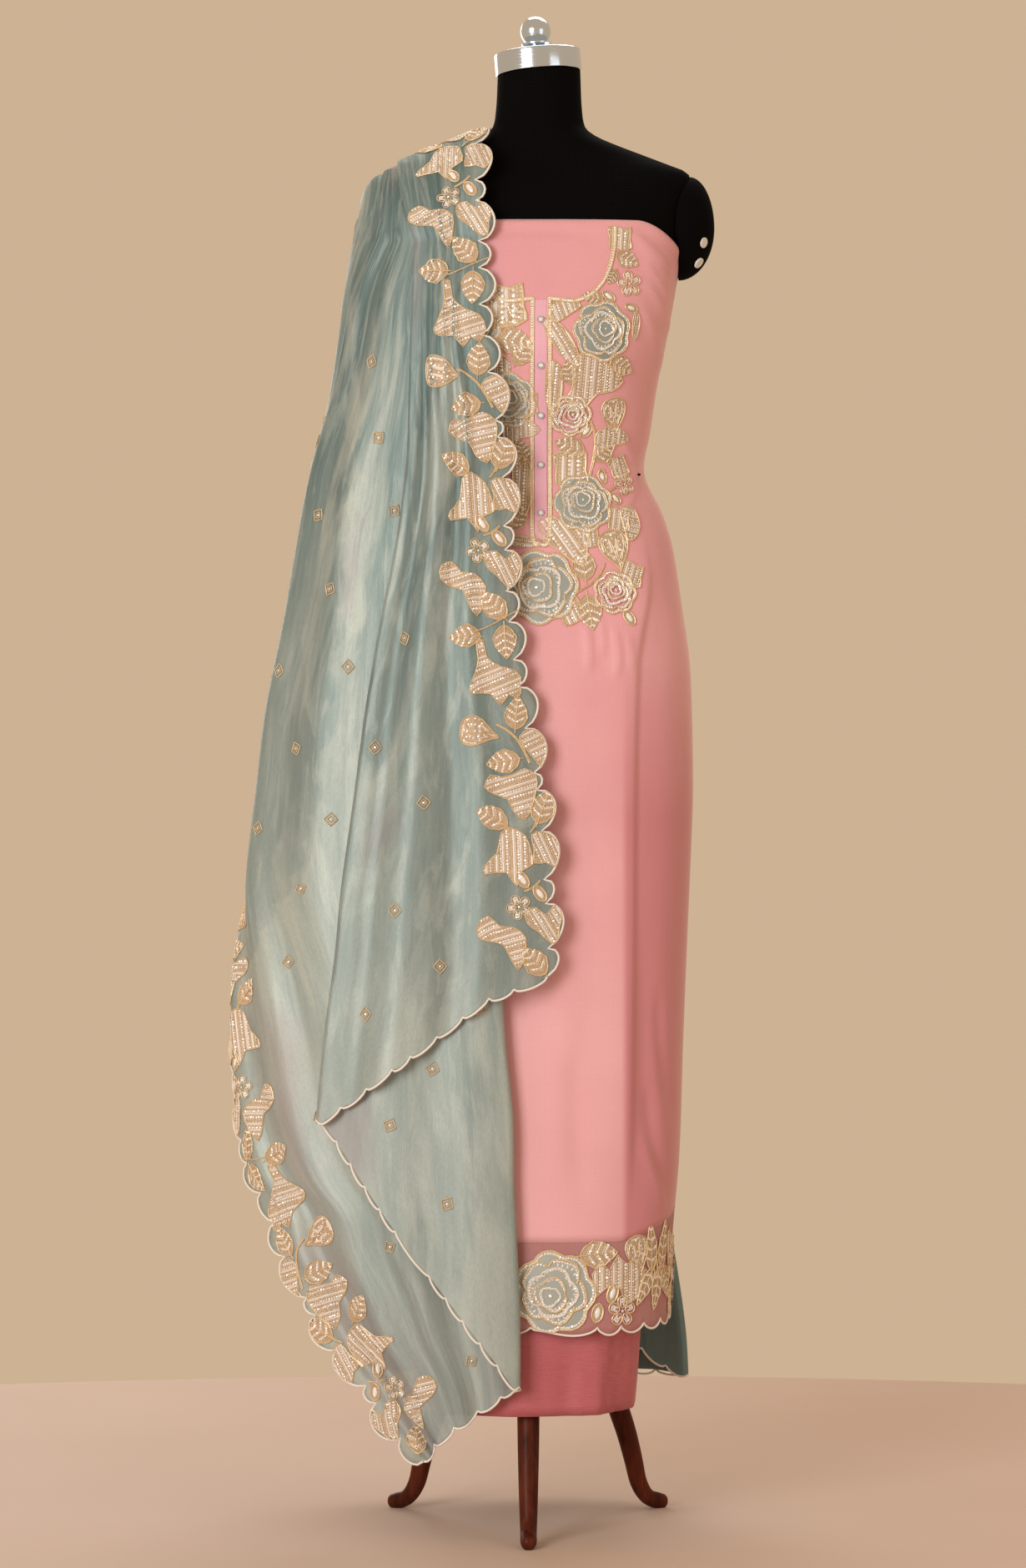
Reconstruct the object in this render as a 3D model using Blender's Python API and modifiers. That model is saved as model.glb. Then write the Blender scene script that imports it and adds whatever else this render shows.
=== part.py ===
"""Salwar kameez suit on a limbless dress form with a three-legged stand.

Metres, +Z up, +X to the viewer's right, the front faces -Y. The floor is z = 0 and the
origin lies under the middle of the whole outline.
"""

import math

import bmesh
import bpy
from mathutils import Vector

GAP = 0.0003  # between pieces that touch
SHIFT = Vector((0.0780, 0.0008, 0.0))  # the form's own axis, from the origin
STAND_X = -0.0124  # the stand's axis, from the form's axis

AROUND = 24  # faces round the form and the cloth tubes
KAMEEZ_WALL = 0.0015
SALWAR_WALL = 0.0015
DUPATTA_WALL = 0.0012
SCALLOP_PITCH = 0.048  # along the dupatta's long edges
SCALLOP_DEPTH = 0.013
HEM_PITCH = 0.035  # along its short ends
HEM_DEPTH = 0.006
EDGE_WIDTH = 0.014  # of the scalloped edging, to a scallop's tip
EDGE_STEP, HEM_STEP = 0.016, 0.0118  # longest pieces of the scalloped outline

# The form: height, half width, depth in front and behind, squareness of the section
FORM = (
    (0.790, 0.1700, 0.119, 0.114, 2.5),
    (0.835, 0.1712, 0.121, 0.117, 2.5),
    (0.926, 0.1715, 0.122, 0.119, 2.4),
    (0.984, 0.1685, 0.120, 0.117, 2.4),
    (1.030, 0.1620, 0.116, 0.112, 2.4),
    (1.111, 0.1490, 0.104, 0.096, 2.3),
    (1.148, 0.1375, 0.096, 0.088, 2.2),
    (1.194, 0.1170, 0.089, 0.082, 2.2),
    (1.243, 0.1240, 0.096, 0.087, 2.2),
    (1.293, 0.1315, 0.110, 0.094, 2.2),
    (1.331, 0.1395, 0.117, 0.099, 2.3),
    (1.373, 0.1475, 0.112, 0.102, 2.4),
    (1.405, 0.1530, 0.106, 0.103, 2.5),
    (1.442, 0.1587, 0.098, 0.101, 2.8),
    (1.479, 0.1625, 0.087, 0.095, 3.0),
    (1.509, 0.1670, 0.074, 0.084, 3.0),
    (1.533, 0.1700, 0.058, 0.068, 2.8),
    (1.5455, 0.1420, 0.052, 0.060, 2.5),
    (1.5555, 0.1160, 0.049, 0.057, 2.4),
    (1.5655, 0.0900, 0.048, 0.056, 2.2),
    (1.575, 0.0680, 0.048, 0.055, 2.0),
    (1.585, 0.0540, 0.048, 0.053, 2.0),
    (1.605, 0.0492, 0.047, 0.050, 2.0),
    (1.648, 0.0470, 0.046, 0.047, 2.0),
)
WORN_TO = 1.405  # the cloth tube follows the form's rows up to here

# The rounded caps over the armholes
CAP_MIDDLE = Vector((0.0, 0.0, 1.4720))
CAP_DEPTH, CAP_HEIGHT, CAP_TIP = 0.049, 0.0585, 0.1995
CAP_AROUND, CAP_RINGS = 16, 4
CAP_SEAT = 0.0013  # from the form's true curve, which its faces lie inside
CAP_STAND_OFF = 0.0034  # the cap's foot clears the kameez tucked under it
CAP_TUCK_TOP, CAP_TUCK = 1.462, 0.012  # height where that clearance starts, and its run
# Studs on the right cap: degrees round its rim, rise to its tip, lift of the middle
STUDS = ((206, 0.46, 0.0011), (236, 0.36, 0.0005))
STUD_RADIUS, STUD_DEPTH = 0.0065, 0.002

# The kameez below the form, by its outer face, with the same columns
KAMEEZ_LOW = (
    (0.230, 0.1490, 0.1470, 0.142, 2.9),
    (0.328, 0.1520, 0.1455, 0.140, 2.9),
    (0.422, 0.1596, 0.1420, 0.138, 2.8),
    (0.555, 0.1640, 0.1370, 0.133, 2.7),
    (0.680, 0.1690, 0.1310, 0.127, 2.6),
)
TUBE_STOPS = (0.230, 0.328, 0.422, 0.490, 0.555, 0.635, 0.715)  # its rows below the form
SLACK = 0.0005  # of the kameez on the form
TURN_IN = 0.0008  # its top edge stands out by this much more
# Edges of the kameez: height in front, at the sides and behind, and how far round they stay level
TOP_EDGE = (1.472, 1.441, 1.432, 0.55)
BAND_SEAM = (0.334, 0.360, 0.360, 0.45)  # where the hem band is sewn on
BAND_FOOT = (0.240, 0.246, 0.246, 0.3)  # the valleys of the band's scalloped edge
EDGE_EASE = 1.6  # how slowly an edge leaves the level
BAND_SCALLOPS = 12  # in each half
BAND_SCALLOP_DEPTH = 0.009
BAND_FACES = 4  # along each face of the panel above
BAND_THINNER = 0.0001  # the band's faces lie this far inside the panel's

# The bottom cloth by its outer face: height, middle, half width, front, behind, squareness
SALWAR = (
    (0.140, -0.015, 0.1240, 0.1370, 0.130, 2.8),
    (0.240, -0.012, 0.1290, 0.1350, 0.129, 2.8),
    (0.400, -0.008, 0.1400, 0.1290, 0.124, 2.7),
    (0.600, -0.004, 0.1540, 0.1240, 0.119, 2.6),
    (0.740, -0.001, 0.1660, 0.1215, 0.117, 2.5),
)
SALWAR_FREE = (0.140, 0.190, 0.240, 0.320, 0.400, 0.500, 0.620, 0.740)  # rows of its faces
SALWAR_ON_FORM = (0.790, 0.835)  # its last rows, on the form, under the kameez

# Neck cap, finial and stand: radius and height of each turned profile
NECK_TILT = math.radians(4.6)
NECK_CAP = ((0.0, 1.6765), (0.047, 1.6765), (0.049, 1.6745), (0.049, 1.6515), (0.0, 1.6515))
FINIAL_BASE = 1.6768
FINIAL_COLLAR = ((0.0, 0.0), (0.0125, 0.0), (0.0105, 0.003), (0.013, 0.007), (0.0172, 0.0095),
                 (0.0172, 0.011))
BALL_RADIUS = 0.0172
BALL_HEIGHT = 0.0225  # of the ball's middle, over the collar's foot
POLE_RADIUS = 0.0125
HUB = ((0.0, 0.306), (0.022, 0.306), (0.030, 0.296), (0.0285, 0.286), (0.0285, 0.250), (0.031, 0.240),
       (0.022, 0.226), (0.0, 0.226))

# A cabriole leg: distance from the stand's axis, height, half thickness
LEG = (
    (0.0288, 0.268, 0.0130),
    (0.0480, 0.264, 0.0130),
    (0.0720, 0.235, 0.0130),
    (0.1000, 0.180, 0.0128),
    (0.1210, 0.120, 0.0122),
    (0.1320, 0.090, 0.0116),
    (0.1410, 0.059, 0.0108),
    (0.1475, 0.034, 0.0100),
    (0.1590, 0.016, 0.0092),
    (0.1750, 0.009, 0.0092),
    (0.1860, 0.008, 0.0070),
)

LEG_SIDES, LEG_STEPS = 10, 15
FOOT_CUT = 0.0008  # sliced off under each foot, to rest on

# Placket, buttons and appliques on the kameez front
PLACKET_X, PLACKET_WIDTH = 0.0016, 0.016
PLACKET_TOP, PLACKET_FOOT, PLACKET_POINT = 1.380, 1.124, 1.114
BUTTON_HEIGHTS = (1.358, 1.307, 1.2525, 1.198, 1.144)
PLACKET_ROWS = (1.148, 1.194, 1.243, 1.293, 1.331, 1.373)  # its rows between foot and top
PLACKET_WALL = 0.001
BUTTON_RADIUS, BUTTON_LIFT = 0.0038, 0.0022
BUTTON_PROFILE = ((0.0, 0.003), (0.0018, 0.003), (BUTTON_RADIUS, 0.0015), (0.0032, 0.0), (0.0, 0.0))
# Roses: x, height, half width, half height, lift off the panel's faces
ROSES = (
    (0.0707, 1.352, 0.032, 0.030, 0.0011),
    (0.0520, 1.154, 0.032, 0.031, 0.0009),
    (0.0050, 1.060, 0.039, 0.042, 0.0009),
    (-0.0345, 1.268, 0.0235, 0.031, 0.0009),
    (0.0150, 0.2860, 0.043, 0.043, 0.0006),
)
ROSE_WALL, ROSE_HEART = 0.0012, 0.0012  # at the rim, and how much more at the middle
ROSE_LOBES, ROSE_LOBE = 5, 0.08

# Front fall of the dupatta by height: near edge, fold b, fold c, leftmost, far edge's turn in
# degrees round the envelope, envelope depth, lift of the outer and of the middle layer
FALL_FRONT = (
    (0.080, 0.012, -0.262, -0.028, 0.340, 110, 0.1530, 0.027, 0.0135),
    (0.130, 0.012, -0.260, -0.028, 0.340, 119, 0.1530, 0.027, 0.0135),
    (0.178, 0.012, -0.258, -0.028, 0.340, 125, 0.1530, 0.027, 0.0135),
    (0.224, 0.012, -0.256, -0.028, 0.340, 133.5, 0.1530, 0.027, 0.0135),
    (0.271, 0.012, -0.254, -0.029, 0.340, 140, 0.1530, 0.027, 0.0135),
    (0.318, 0.012, -0.252, -0.031, 0.340, 147.5, 0.1530, 0.027, 0.0135),
    (0.364, 0.012, -0.249, -0.033, 0.341, 152, 0.1525, 0.027, 0.0135),
    (0.404, 0.012, -0.246, -0.035, 0.343, 162, 0.1515, 0.027, 0.0135),
    (0.473, 0.012, -0.241, -0.036, 0.346, 172, 0.1495, 0.027, 0.0135),
    (0.565, 0.012, -0.232, -0.045, 0.350, 178, 0.1465, 0.027, 0.0135),
    (0.648, 0.015, -0.221, -0.049, 0.342, 182, 0.1430, 0.027, 0.0135),
    (0.730, 0.011, -0.213, -0.051, 0.333, 189, 0.1390, 0.027, 0.0135),
    (0.825, 0.004, -0.200, -0.053, 0.320, 196, 0.1350, 0.026, 0.0130),
    (0.925, -0.014, -0.187, -0.058, 0.307, 200, 0.1325, 0.025, 0.0125),
    (1.026, -0.029, -0.170, -0.064, 0.287, 202, 0.1290, 0.024, 0.0120),
    (1.110, -0.033, -0.154, -0.069, 0.273, 202, 0.1250, 0.022, 0.0110),
    (1.200, -0.038, -0.143, -0.073, 0.2575, 200, 0.1225, 0.020, 0.0100),
    (1.282, -0.049, -0.141, -0.077, 0.2375, 196, 0.1245, 0.017, 0.0085),
    (1.346, -0.060, -0.140, -0.081, 0.2250, 190, 0.1245, 0.014, 0.0070),
    (1.390, -0.061, -0.139, -0.083, 0.2185, 184, 0.1200, 0.012, 0.0060),
    (1.450, -0.062, -0.138, -0.086, 0.2140, 172, 0.1085, 0.010, 0.0050),
)
# Heights of the front hem: at the near edge, on the way, at fold b, at fold c, at the far edge
HEM_FRONT = (0.630, 0.606, 0.470, 0.178, 0.092)
HEM_FRONT_WAY, HEM_FRONT_EASE = 0.28, 0.8  # where the way point is, and the last stretch's curve
SPLIT = 1.450  # height where the falls meet the shoulder piece
CLEAR = 0.0042  # from the shoulder piece's middle face down to the body
CLEAR_ASIDE = 0.0065  # how far towards the neck the body under it is measured
LEAST_TOP = 0.030  # its rise over the split beyond the shoulder cap
LEAST_SIDE = 0.004
CREST = (-0.068, -0.160, -0.124, -0.2068)  # near edge, fold b, fold c, far edge on top
CREST_LIFT_OUT, CREST_LIFT_MID = 0.0098, 0.0049
OUTER_RIPPLE, OUTER_WAVES = 0.12, 1.5  # of the outer layer's lift
INNER_RIPPLE, INNER_WAVES = 0.004, 2.0  # for each metre below the split
NEAR_RELAX, RELAX_RUN = 0.4, 2.75  # the front fall's near edge settles onto the layer below

# Back fall, with the same columns as the front fall
FALL_BACK = (
    (0.130, 0.050, -0.200, 0.170, 0.300, 105, 0.1620, 0.027, 0.0135),
    (0.200, 0.050, -0.200, 0.166, 0.300, 105, 0.1620, 0.027, 0.0135),
    (0.290, 0.048, -0.200, 0.153, 0.300, 105.5, 0.1610, 0.027, 0.0135),
    (0.344, 0.046, -0.200, 0.141, 0.300, 106, 0.1600, 0.027, 0.0135),
    (0.550, 0.036, -0.200, 0.102, 0.295, 109, 0.1540, 0.026, 0.0130),
    (0.750, 0.022, -0.200, 0.060, 0.288, 117, 0.1470, 0.024, 0.0120),
    (0.950, 0.001, -0.200, 0.019, 0.280, 126, 0.1420, 0.021, 0.0105),
    (1.150, -0.030, -0.198, -0.034, 0.262, 137, 0.1330, 0.017, 0.0085),
    (1.320, -0.056, -0.186, -0.082, 0.238, 151, 0.1230, 0.012, 0.0060),
    (1.450, -0.066, -0.171, -0.106, 0.2140, 172, 0.1130, 0.010, 0.0050),
)
HEM_BACK = (0.160, 0.172, 0.150, 0.152, 0.480)  # as the front hem
HEM_BACK_WAY, HEM_BACK_EASE = 0.5, 1.6

# Panels across the cloth, from the near edge, with their counts of faces
PANELS = (("outer", 6), ("fold b", 4), ("middle", 4), ("fold c", 4), ("inner", 11))
FRONT_ROWS, SHOULDER_ROWS, BACK_ROWS = 19, 10, 13

COLOURS = {  # base colour, metallic, roughness
    "form_cloth": ((0.006, 0.005, 0.005), 0.0, 0.85),
    "chrome": ((0.75, 0.74, 0.72), 1.0, 0.15),
    "stud_white": ((0.80, 0.79, 0.76), 0.0, 0.35),
    "wood": ((0.16, 0.035, 0.012), 0.0, 0.35),
    "kameez_pink": ((0.76, 0.24, 0.23), 0.0, 0.6),
    "band_organza": ((0.52, 0.15, 0.17), 0.0, 0.5),
    "placket_pink": ((0.85, 0.30, 0.42), 0.0, 0.6),
    "crystal": ((0.80, 0.76, 0.70), 0.4, 0.1),
    "rose_organza": ((0.30, 0.38, 0.35), 0.1, 0.5),
    "salwar_rose": ((0.57, 0.13, 0.14), 0.0, 0.6),
    "dupatta_organza": ((0.28, 0.39, 0.35), 0.3, 0.45),
}


def clear_scene():
    for item in list(bpy.data.objects):
        bpy.data.objects.remove(item, do_unlink=True)


def new_collection(name):
    group = bpy.data.collections.new(name)
    bpy.context.scene.collection.children.link(group)
    return group


def material(name):
    colour, metallic, roughness = COLOURS[name]
    made = bpy.data.materials.get(name)
    if made is None:
        made = bpy.data.materials.new(name)
        made.use_nodes = True
        shader = made.node_tree.nodes["Principled BSDF"]
        shader.inputs["Base Color"].default_value = (*colour, 1.0)
        shader.inputs["Metallic"].default_value = metallic
        shader.inputs["Roughness"].default_value = roughness
        made.diffuse_color = (*colour, 1.0)
    return made


def add_mesh(group, name, points, faces, look, moved=True):
    """A smooth mesh object from points and faces, moved from the form's axis to its place."""
    mesh = bpy.data.meshes.new(name)
    mesh.from_pydata([tuple(p) for p in points], [], faces)
    mesh.materials.append(material(look))
    work = bmesh.new()
    work.from_mesh(mesh)
    bmesh.ops.remove_doubles(work, verts=work.verts, dist=1e-6)
    bmesh.ops.recalc_face_normals(work, faces=work.faces)
    if moved:
        bmesh.ops.translate(work, verts=work.verts, vec=SHIFT)
    work.to_mesh(mesh)
    work.free()
    mesh.shade_smooth()
    mesh.set_sharp_from_angle(angle=math.radians(50))
    made = bpy.data.objects.new(name, mesh)
    group.objects.link(made)
    return made


def along(rows, height):
    """The table's columns at a height, on a smooth curve through its rows."""
    rows = sorted(rows)
    height = min(max(height, rows[0][0]), rows[-1][0])
    at = 0
    while at < len(rows) - 2 and height > rows[at + 1][0]:
        at += 1
    low, high = rows[at], rows[at + 1]
    before, after = rows[max(at - 1, 0)], rows[min(at + 2, len(rows) - 1)]
    span = high[0] - low[0]
    t = (height - low[0]) / span
    values = []
    for column in range(1, len(low)):
        slope_low = (high[column] - before[column]) / (high[0] - before[0]) * span
        slope_high = (after[column] - low[column]) / (after[0] - low[0]) * span
        values.append(
            low[column] * (1 + 2 * t) * (1 - t) ** 2
            + slope_low * t * (1 - t) ** 2
            + high[column] * t * t * (3 - 2 * t)
            + slope_high * t * t * (t - 1)
        )
    return values


def mix(low, high, t):
    return low + (high - low) * t


def straight(rows, height):
    """The table's columns at a height, straight between its rows as on the faceted form."""
    height = min(max(height, rows[0][0]), rows[-1][0])
    at = 0
    while at < len(rows) - 2 and height > rows[at + 1][0]:
        at += 1
    low, high = rows[at], rows[at + 1]
    t = (height - low[0]) / (high[0] - low[0])
    return [mix(a, b, t) for a, b in zip(low[1:], high[1:])]


def section(row, turn, grow=0.0, middle=0.0):
    """A point of a squarish oval section. Turn 0 is at +X, and 270 degrees at the front."""
    half, front, behind, squareness = row
    cos, sin = math.cos(turn), math.sin(turn)
    depth = behind if sin > 0 else front
    x = math.copysign(abs(cos) ** (2 / squareness), cos) * (half + grow)
    y = math.copysign(abs(sin) ** (2 / squareness), sin) * (depth + grow)
    return Vector((middle + x, y, 0.0))


def form_point(turn, height, grow=0.0):
    point = section(straight(FORM, height), turn, grow)
    point.z = height
    return point


# ---------------------------------------------------------------- lofts and shells


def ring_loft(rings):
    """Points and faces of a body lofted through closed rings, with flat ends."""
    count = len(rings[0])
    points = [p for ring in rings for p in ring]
    faces = [tuple(range(count)), tuple(range(len(points) - count, len(points)))]
    for r in range(len(rings) - 1):
        for k in range(count):
            n = (k + 1) % count
            a, b = r * count, (r + 1) * count
            faces.append((a + k, a + n, b + n, b + k))
    return points, faces


def wall_between(inner, outer, closed):
    """Points and faces of a wall between two grids of rows, closed round or not."""
    rows, columns = len(inner), len(inner[0])
    points = [p for row in inner for p in row] + [p for row in outer for p in row]
    shift = rows * columns
    faces = []
    spans = columns if closed else columns - 1
    for r in range(rows - 1):
        for k in range(spans):
            n = (k + 1) % columns
            a, b = r * columns, (r + 1) * columns
            for triangle in ((a + k, a + n, b + n), (a + k, b + n, b + k)):
                faces.append(triangle)
                faces.append(tuple(v + shift for v in reversed(triangle)))
    for r in (0, rows - 1):
        for k in range(spans):
            a, b = r * columns + k, r * columns + (k + 1) % columns
            faces.append((a, b, b + shift, a + shift))
    if not closed:
        for k in (0, columns - 1):
            for r in range(rows - 1):
                a, b = r * columns + k, (r + 1) * columns + k
                faces.append((a, b, b + shift, a + shift))
    return points, faces


def grid_normals(grid):
    """A unit normal at each point of an open grid of rows."""
    normals = []
    for r, row in enumerate(grid):
        line = []
        for k in range(len(row)):
            across = row[min(k + 1, len(row) - 1)] - row[max(k - 1, 0)]
            upper, lower = grid[min(r + 1, len(grid) - 1)][k], grid[max(r - 1, 0)][k]
            line.append(across.cross(upper - lower).normalized())
        normals.append(line)
    return normals


def level(row):
    """A row of normals turned level, so that two walls meet squarely at one height."""
    return [Vector((n.x, n.y, 0.0)).normalized() for n in row]


def cloth_wall(grid, wall, level_rows):
    """Points and faces of a wall with the grid of rows as its middle."""
    normals = grid_normals(grid)
    for r in level_rows:
        normals[r] = level(normals[r])
    inner = [[p - n * wall / 2 for p, n in zip(*pair)] for pair in zip(grid, normals)]
    outer = [[p + n * wall / 2 for p, n in zip(*pair)] for pair in zip(grid, normals)]
    return wall_between(inner, outer, closed=False)


def turned(group, name, profile, look, place, steps=24):
    """A body turned round the Z axis of its own place."""
    points = [(r, 0.0, z) for r, z in profile]
    mesh = bpy.data.meshes.new(name)
    mesh.from_pydata(points, [(i, i + 1) for i in range(len(points) - 1)], [])
    mesh.materials.append(material(look))
    made = bpy.data.objects.new(name, mesh)
    group.objects.link(made)
    spin = made.modifiers.new("turn", "SCREW")
    spin.steps = steps
    spin.render_steps = steps
    spin.use_merge_vertices = True
    spin.merge_threshold = 0.00001
    spin.use_smooth_shade = True
    made.location = place
    return made


# ---------------------------------------------------------------- dress form


def build_torso(group):
    rings = []
    for height, *row in FORM:
        ring = []
        for k in range(AROUND):
            point = section(row, 2 * math.pi * k / AROUND)
            point.z = height
            if height == FORM[-1][0]:
                point.z += point.x * math.tan(NECK_TILT)
            ring.append(point)
        rings.append(ring)
    add_mesh(group, "form_torso", *ring_loft(rings), "form_cloth")


def armhole_x(y, height):
    """Half width of the cap's seat at a depth and a height, off the form's side and the kameez."""
    half, front, behind, squareness = straight(FORM, height)
    depth = behind if y > 0 else front
    side = half * (1 - min(abs(y) / depth, 1.0) ** squareness) ** (1 / squareness)
    tucked = min(max((CAP_TUCK_TOP - height) / CAP_TUCK, 0.0), 1.0)
    return side + CAP_SEAT + CAP_STAND_OFF * tucked


def cap_point(turn, rise, side):
    """A point of the shoulder cap: rise 0 is on its rim and 1 at its tip."""
    spread = math.cos(rise * math.pi / 2)
    y = CAP_DEPTH * math.cos(turn)
    z = CAP_HEIGHT * math.sin(turn)
    foot = armhole_x(y, CAP_MIDDLE.z + z)
    x = foot + (CAP_TIP - foot) * math.sin(rise * math.pi / 2)
    return Vector((side * x, y * spread, CAP_MIDDLE.z + z * spread))


def build_cap(group, name, side):
    outer, inner = [], []
    turns = [2 * math.pi * k / CAP_AROUND for k in range(CAP_AROUND)]
    for r in range(CAP_RINGS):
        rise = r / CAP_RINGS
        outer.append([cap_point(turn, rise, side) for turn in turns])
    for r in range(1, CAP_RINGS):
        reach = 1 - r / CAP_RINGS
        ring = []
        for turn in turns:
            y = CAP_DEPTH * math.cos(turn) * reach
            z = CAP_MIDDLE.z + CAP_HEIGHT * math.sin(turn) * reach
            ring.append(Vector((side * armhole_x(y, z), y, z)))
        inner.append(ring)
    add_mesh(group, name, *ring_loft(inner[::-1] + outer), "form_cloth")


def build_studs(group):
    for number, (turn, rise, lift) in enumerate(STUDS, start=1):
        place = cap_point(math.radians(turn), rise, 1)
        next_turn = cap_point(math.radians(turn + 4), rise, 1) - place
        next_rise = cap_point(math.radians(turn), rise + 0.05, 1) - place
        out = next_rise.cross(next_turn).normalized()
        if out.x < 0:
            out = -out
        bpy.ops.mesh.primitive_cylinder_add(vertices=12, radius=STUD_RADIUS, depth=STUD_DEPTH)
        stud = bpy.context.object
        stud.name = f"form_cap_stud_{number}"
        stud.data.name = stud.name
        stud.data.materials.append(material("stud_white"))
        stud.rotation_euler = out.to_track_quat("Z", "Y").to_euler()
        stud.location = place + SHIFT + out * lift
        move_to(group, stud)


def move_to(group, item):
    for other in list(item.users_collection):
        other.objects.unlink(item)
    group.objects.link(item)


def finial_profile():
    ball = []
    start = -math.asin(0.70)
    for k in range(9):
        angle = mix(start, math.pi / 2, k / 8)
        radius = BALL_RADIUS * math.cos(angle) if k < 8 else 0.0
        ball.append((radius, BALL_HEIGHT + BALL_RADIUS * math.sin(angle)))
    return [*FINIAL_COLLAR, *ball][::-1]


def build_neck(group):
    tilt = -NECK_TILT
    low = NECK_CAP[-1][1]
    foot = Vector((0.0, 0.0, FORM[-1][0] + GAP))
    cap = turned(group, "form_neck_cap", [(r, z - low) for r, z in NECK_CAP], "chrome", foot + SHIFT)
    cap.rotation_euler = (0, tilt, 0)
    raise_by = FINIAL_BASE - low
    up = Vector((math.sin(tilt), 0, math.cos(tilt)))
    place = foot + up * raise_by + SHIFT
    top = turned(group, "form_finial", finial_profile(), "chrome", place, steps=14)
    top.rotation_euler = (0, tilt, 0)


# ---------------------------------------------------------------- stand


def build_pole(group):
    foot, top = HUB[0][1] + GAP, FORM[0][0] - GAP
    bpy.ops.mesh.primitive_cylinder_add(vertices=16, radius=POLE_RADIUS, depth=top - foot)
    pole = bpy.context.object
    pole.name = "stand_pole"
    pole.data.name = pole.name
    pole.data.materials.append(material("wood"))
    pole.location = Vector((STAND_X, 0, (foot + top) / 2)) + SHIFT
    pole.data.shade_smooth()
    move_to(group, pole)
    turned(group, "stand_hub", HUB, "wood", Vector((STAND_X, 0, 0)) + SHIFT)


def build_leg(group, name, bearing):
    """A cabriole leg, swept along its centreline and cut flat where it meets the floor."""
    rings = []
    out = Vector((math.cos(bearing), math.sin(bearing), 0))
    across = Vector((-out.y, out.x, 0))
    start, end = LEG[0][0], LEG[-1][0]
    for s in range(LEG_STEPS + 1):
        reach = mix(start, end, s / LEG_STEPS)
        height, half = along(LEG, reach)
        ahead, behind = min(reach + 0.001, end), max(reach - 0.001, start)
        rise = along(LEG, ahead)[0] - along(LEG, behind)[0]
        way = (out * (ahead - behind) + Vector((0, 0, rise))).normalized()
        if s == 0:
            way = out
        normal = across.cross(way)
        centre = out * reach + Vector((STAND_X, 0, height))
        ring = []
        for k in range(LEG_SIDES):
            turn = 2 * math.pi * k / LEG_SIDES
            point = centre + (across * math.cos(turn) + normal * math.sin(turn)) * half
            ring.append(point)
        rings.append(ring)
    leg = add_mesh(group, name, *ring_loft(rings), "wood")
    work = bmesh.new()
    work.from_mesh(leg.data)
    geometry = work.verts[:] + work.edges[:] + work.faces[:]
    cut = bmesh.ops.bisect_plane(
        work, geom=geometry, plane_co=(0, 0, FOOT_CUT), plane_no=(0, 0, 1), clear_inner=True, dist=1e-7
    )
    rim = [e for e in cut["geom_cut"] if isinstance(e, bmesh.types.BMEdge)]
    bmesh.ops.edgeloop_fill(work, edges=rim)
    bmesh.ops.translate(work, verts=work.verts, vec=(0, 0, -FOOT_CUT))
    bmesh.ops.recalc_face_normals(work, faces=work.faces)
    work.to_mesh(leg.data)
    work.free()


# ---------------------------------------------------------------- kameez and salwar


def tube_row(height):
    """The kameez's outer face at a height, straight between the rows of its faces."""
    stops = [*TUBE_STOPS, *[row[0] for row in FORM]]
    return straight([(z, *smooth_tube_row(z)) for z in stops], height)


def grown_rows(rows, grow):
    """The form's rows with their half width and depths grown."""
    return [(z, half + grow, front + grow, back + grow, square) for z, half, front, back, square in rows]


def smooth_tube_row(height):
    """Half width, front, back and squareness of the kameez's outer face at a height."""
    over_both = grown_rows(FORM[:2], KAMEEZ_WALL + SALWAR_WALL + 2 * GAP)
    over_form = grown_rows(FORM[2:], KAMEEZ_WALL + SLACK)
    return along(list(KAMEEZ_LOW) + over_both + over_form, height)


def edge_height(turn, edge):
    """An edge's height round a tube: level in front as far as flat, then easing to the side."""
    front, side, behind, flat = edge
    across = abs(math.cos(turn))
    if math.sin(turn) > 0:
        return mix(side, behind, 1 - across)
    ease = max(across - flat, 0.0) / (1 - flat)
    return mix(front, side, ease**EDGE_EASE)


def half_turns(front):
    """Turns across one half of a tube, from the viewer's left to right in front."""
    start, end = (math.pi, 2 * math.pi) if front else (0.0, math.pi)
    count = AROUND // 2
    return [mix(start, end, k / count) for k in range(count + 1)]


def part_at_sides(row, front):
    """Moves a row's two end points off the side seams by half a gap."""
    for end in (0, -1):
        row[end].y += -GAP / 2 if front else GAP / 2
    return row


def panel_rows(front):
    """Rows of the kameez panel's outer face, from the band seam to the top edge."""
    low = list(TUBE_STOPS[2:])
    worn = [row[0] for row in FORM if row[0] <= WORN_TO]
    fixed = low + worn
    rows = []
    turns = half_turns(front)
    seam = [edge_height(t, BAND_SEAM) for t in turns]
    rows.append(seam)
    for height in fixed:
        rows.append([height] * len(turns))
    top = [edge_height(t, TOP_EDGE) for t in turns]
    rows.append([mix(WORN_TO, z, 0.5) for z in top])
    rows.append(top)
    return turns, rows


def kameez_grid(turns, rows, inset, front):
    grid = []
    for heights in rows:
        line = []
        for turn, height in zip(turns, heights):
            stand_out = TURN_IN if height > WORN_TO else 0.0
            point = section(tube_row(height), turn, stand_out - inset)
            point.z = height
            line.append(point)
        grid.append(part_at_sides(line, front))
    return grid


def build_kameez(group):
    for front in (True, False):
        name = "kameez_front" if front else "kameez_back"
        turns, rows = panel_rows(front)
        outer = kameez_grid(turns, rows, 0.0, front)
        inner = kameez_grid(turns, rows, KAMEEZ_WALL, front)
        add_mesh(group, name, *wall_between(inner, outer, closed=False), "kameez_pink")


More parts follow.
